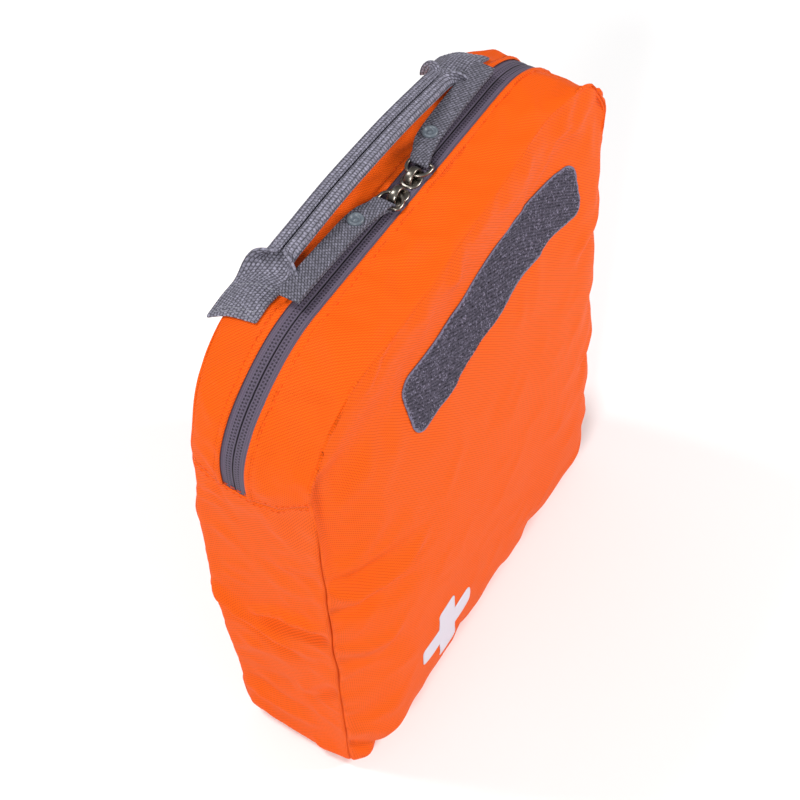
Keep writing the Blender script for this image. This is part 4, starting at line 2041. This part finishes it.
def inside(gusset, front_surface):
    """Everything that shows when the cover is open."""
    foam_y, lining_y = (
        (low[1], high[1]) for low, high in (cad_box("back_stiffener"), cad_box("organiser_panel"))
    )
    sheet = panel_slab("foam_stiffener", 10.5, *foam_y)
    place(sheet, "foam_sheet", "case", "back_stiffener")
    sheet = panel_slab("organiser_lining", 9.5, *lining_y, edge=0.25)
    place(sheet, "lining_cloth", "case", "organiser_panel")

    back, front = gusset[-1], gusset[0]
    for name, key, parts, body, nodes in (
        ("seam_allowance_back", "shell_cloth", [seam_run(back, ALLOWANCE, -1.9)], "case", ()),
        ("seam_allowance_front", "shell_cloth", [seam_run(front, ALLOWANCE, 1.9)], FOLDS, ()),
        ("seam_binding_back", "binding_tape", [seam_run(back, BINDING, -5.4)], "case",
         ("binding_back",)),
        ("seam_binding_front", "binding_tape", [seam_run(front, BINDING, 7.4)], FOLDS,
         ("binding_front", "binding_cover")),
        ("zip_end_tapes", "binding_tape", seam_tapes(gusset), "case", ("zip_end_seam_tapes",)),
        ("coil_teeth_back", "zip_coil", [coil(gusset, 1)], "case", ("zip_coil_back",)),
        ("coil_teeth_front", "zip_coil", [coil(gusset, -1)], FOLDS, ("zip_coil_front",)),
    ):
        part(name, key, parts, body, *nodes)
    part("zip_end_thread_bars", "web_thread", end_tacks(gusset), "case", "zip_end_tacks",
         slot="zip_tape")

    mesh_pocket()
    pocket_hem()
    low, high = cad_box("tool_loops")
    loops = [
        tool_loop(x0, x1, back_y, z0, z1, front_surface) for x0, x1, back_y, z0, z1 in (
            (25.0, 36.0, high[1] - 0.5, high[2] - 10, high[2]),
            (high[0] - 18, high[0], high[1] - 1.2, low[2], low[2] + 12),
        )
    ]
    part("elastic_tool_loops", "binding_tape", loops, "case", "tool_loops")

    roll("bandage_roll_wide", "cotton", "roller_bandage_wide", 0, 1.6, 9, 61)
    roll("bandage_roll_narrow", "cotton", "roller_bandage_narrow", 0, 1.6, 8, 63)
    roll("adhesive_tape_roll", "tape_cloth", "tape_roll", 1, 15.1, 15, 65)

    packets("gauze_packets", "packet_paper", "gauze_dressings", 5, 70, seal=7)
    packets("wipe_sachets", "packet_foil", "antiseptic_wipes", 6, 110, seal=6, film=0.35, wrinkle=0.2)
    pad = packets("wound_dressing_pad", "cotton", "wound_pad", 1, 140, seal=3, film=4.0)
    packets("folded_bandage_packet", "packet_paper", "triangular_bandage", 1, 150)
    packets("foil_blanket_packet", "packet_foil", "foil_blanket", 1, 160, seal=3, wrinkle=0.5)
    packets("glove_pouch", "glove_film", "glove_packet", 1, 170, seal=6, wrinkle=0.7)
    part("plaster_carton", "box_card", card_box(*cad_box("plaster_box")), "case", "plaster_box")

    for name, key, bevel in (
        ("tape_core", "core_card", 0.3),
        ("scissors_blade_left", "tool_steel", 0.15),
        ("scissors_blade_right", "tool_steel", 0.15),
        ("scissors_handle_left", "tool_plastic", 1.1),
        ("scissors_handle_right", "tool_plastic", 1.1),
        ("scissors_rivet", "tool_steel", 0.3),
        ("tweezers", "tool_steel", 0.2),
    ):
        dress_node(name, key, bevel)


# ==== studio ====


def studio():
    """Plain pale floor, soft light and the camera."""
    floor = mesh_object(
        "studio_floor",
        [(x * FLOOR_HALF, y * FLOOR_HALF, -1) for x, y in ((-1, -1), (1, -1), (1, 1), (-1, 1))],
        [(0, 1, 2, 3)],
    )
    n = Nodes("pale_floor")
    floor.data.materials.append(n.finish((0.93, 0.93, 0.93), 0.9, specular_ior_level=0.1))

    world = bpy.data.worlds.new("studio_world")
    world.use_nodes = True
    background = world.node_tree.nodes["Background"]
    background.inputs["Color"].default_value = (1, 1, 1, 1)
    background.inputs["Strength"].default_value = SKY_STRENGTH
    bpy.context.scene.world = world

    for name, where, size, power in LIGHTS:
        light = bpy.data.lights.new(name, "AREA")
        light.size = size
        light.energy = power
        lamp = bpy.data.objects.new(name, light)
        lamp.location = where
        aim = Vector(LIGHT_AIM) - Vector(where)
        lamp.rotation_euler = aim.to_track_quat("-Z", "Y").to_euler()
        bpy.context.scene.collection.objects.link(lamp)

    a, e = math.radians(VIEW_AZIMUTH), math.radians(VIEW_ELEVATION)
    back = Vector((math.sin(a) * math.cos(e), -math.cos(a) * math.cos(e), math.sin(e)))
    camera = bpy.data.cameras.new("camera")
    camera.lens = VIEW_LENS
    camera.sensor_width = 36
    holder = bpy.data.objects.new("camera", camera)
    holder.rotation_mode = "QUATERNION"
    roll = Matrix.Rotation(math.radians(VIEW_ROLL), 4, back)
    holder.rotation_quaternion = (
        roll.to_quaternion() @ (-back).to_track_quat("-Z", "Y")
    )
    holder.location = Vector(VIEW_AIM) + back * VIEW_DISTANCE
    bpy.context.scene.collection.objects.link(holder)
    bpy.context.scene.camera = holder
    bpy.context.scene.view_settings.view_transform = "Standard"


studio()
gusset = build_shell()
made = bpy.data.objects
case_top = Surface(made["zip_strip_back_cloth"], made["zip_strip_front_cloth"])
case_front = Surface(made["front_cloth"])
handle(case_top)
for side, label in SIDES:
    slider(side, label)
    ring(side, label)
    tab(side, label)
    rivet(side, label)
patch(case_front)
print_mark(case_front)

inside(gusset, case_front)
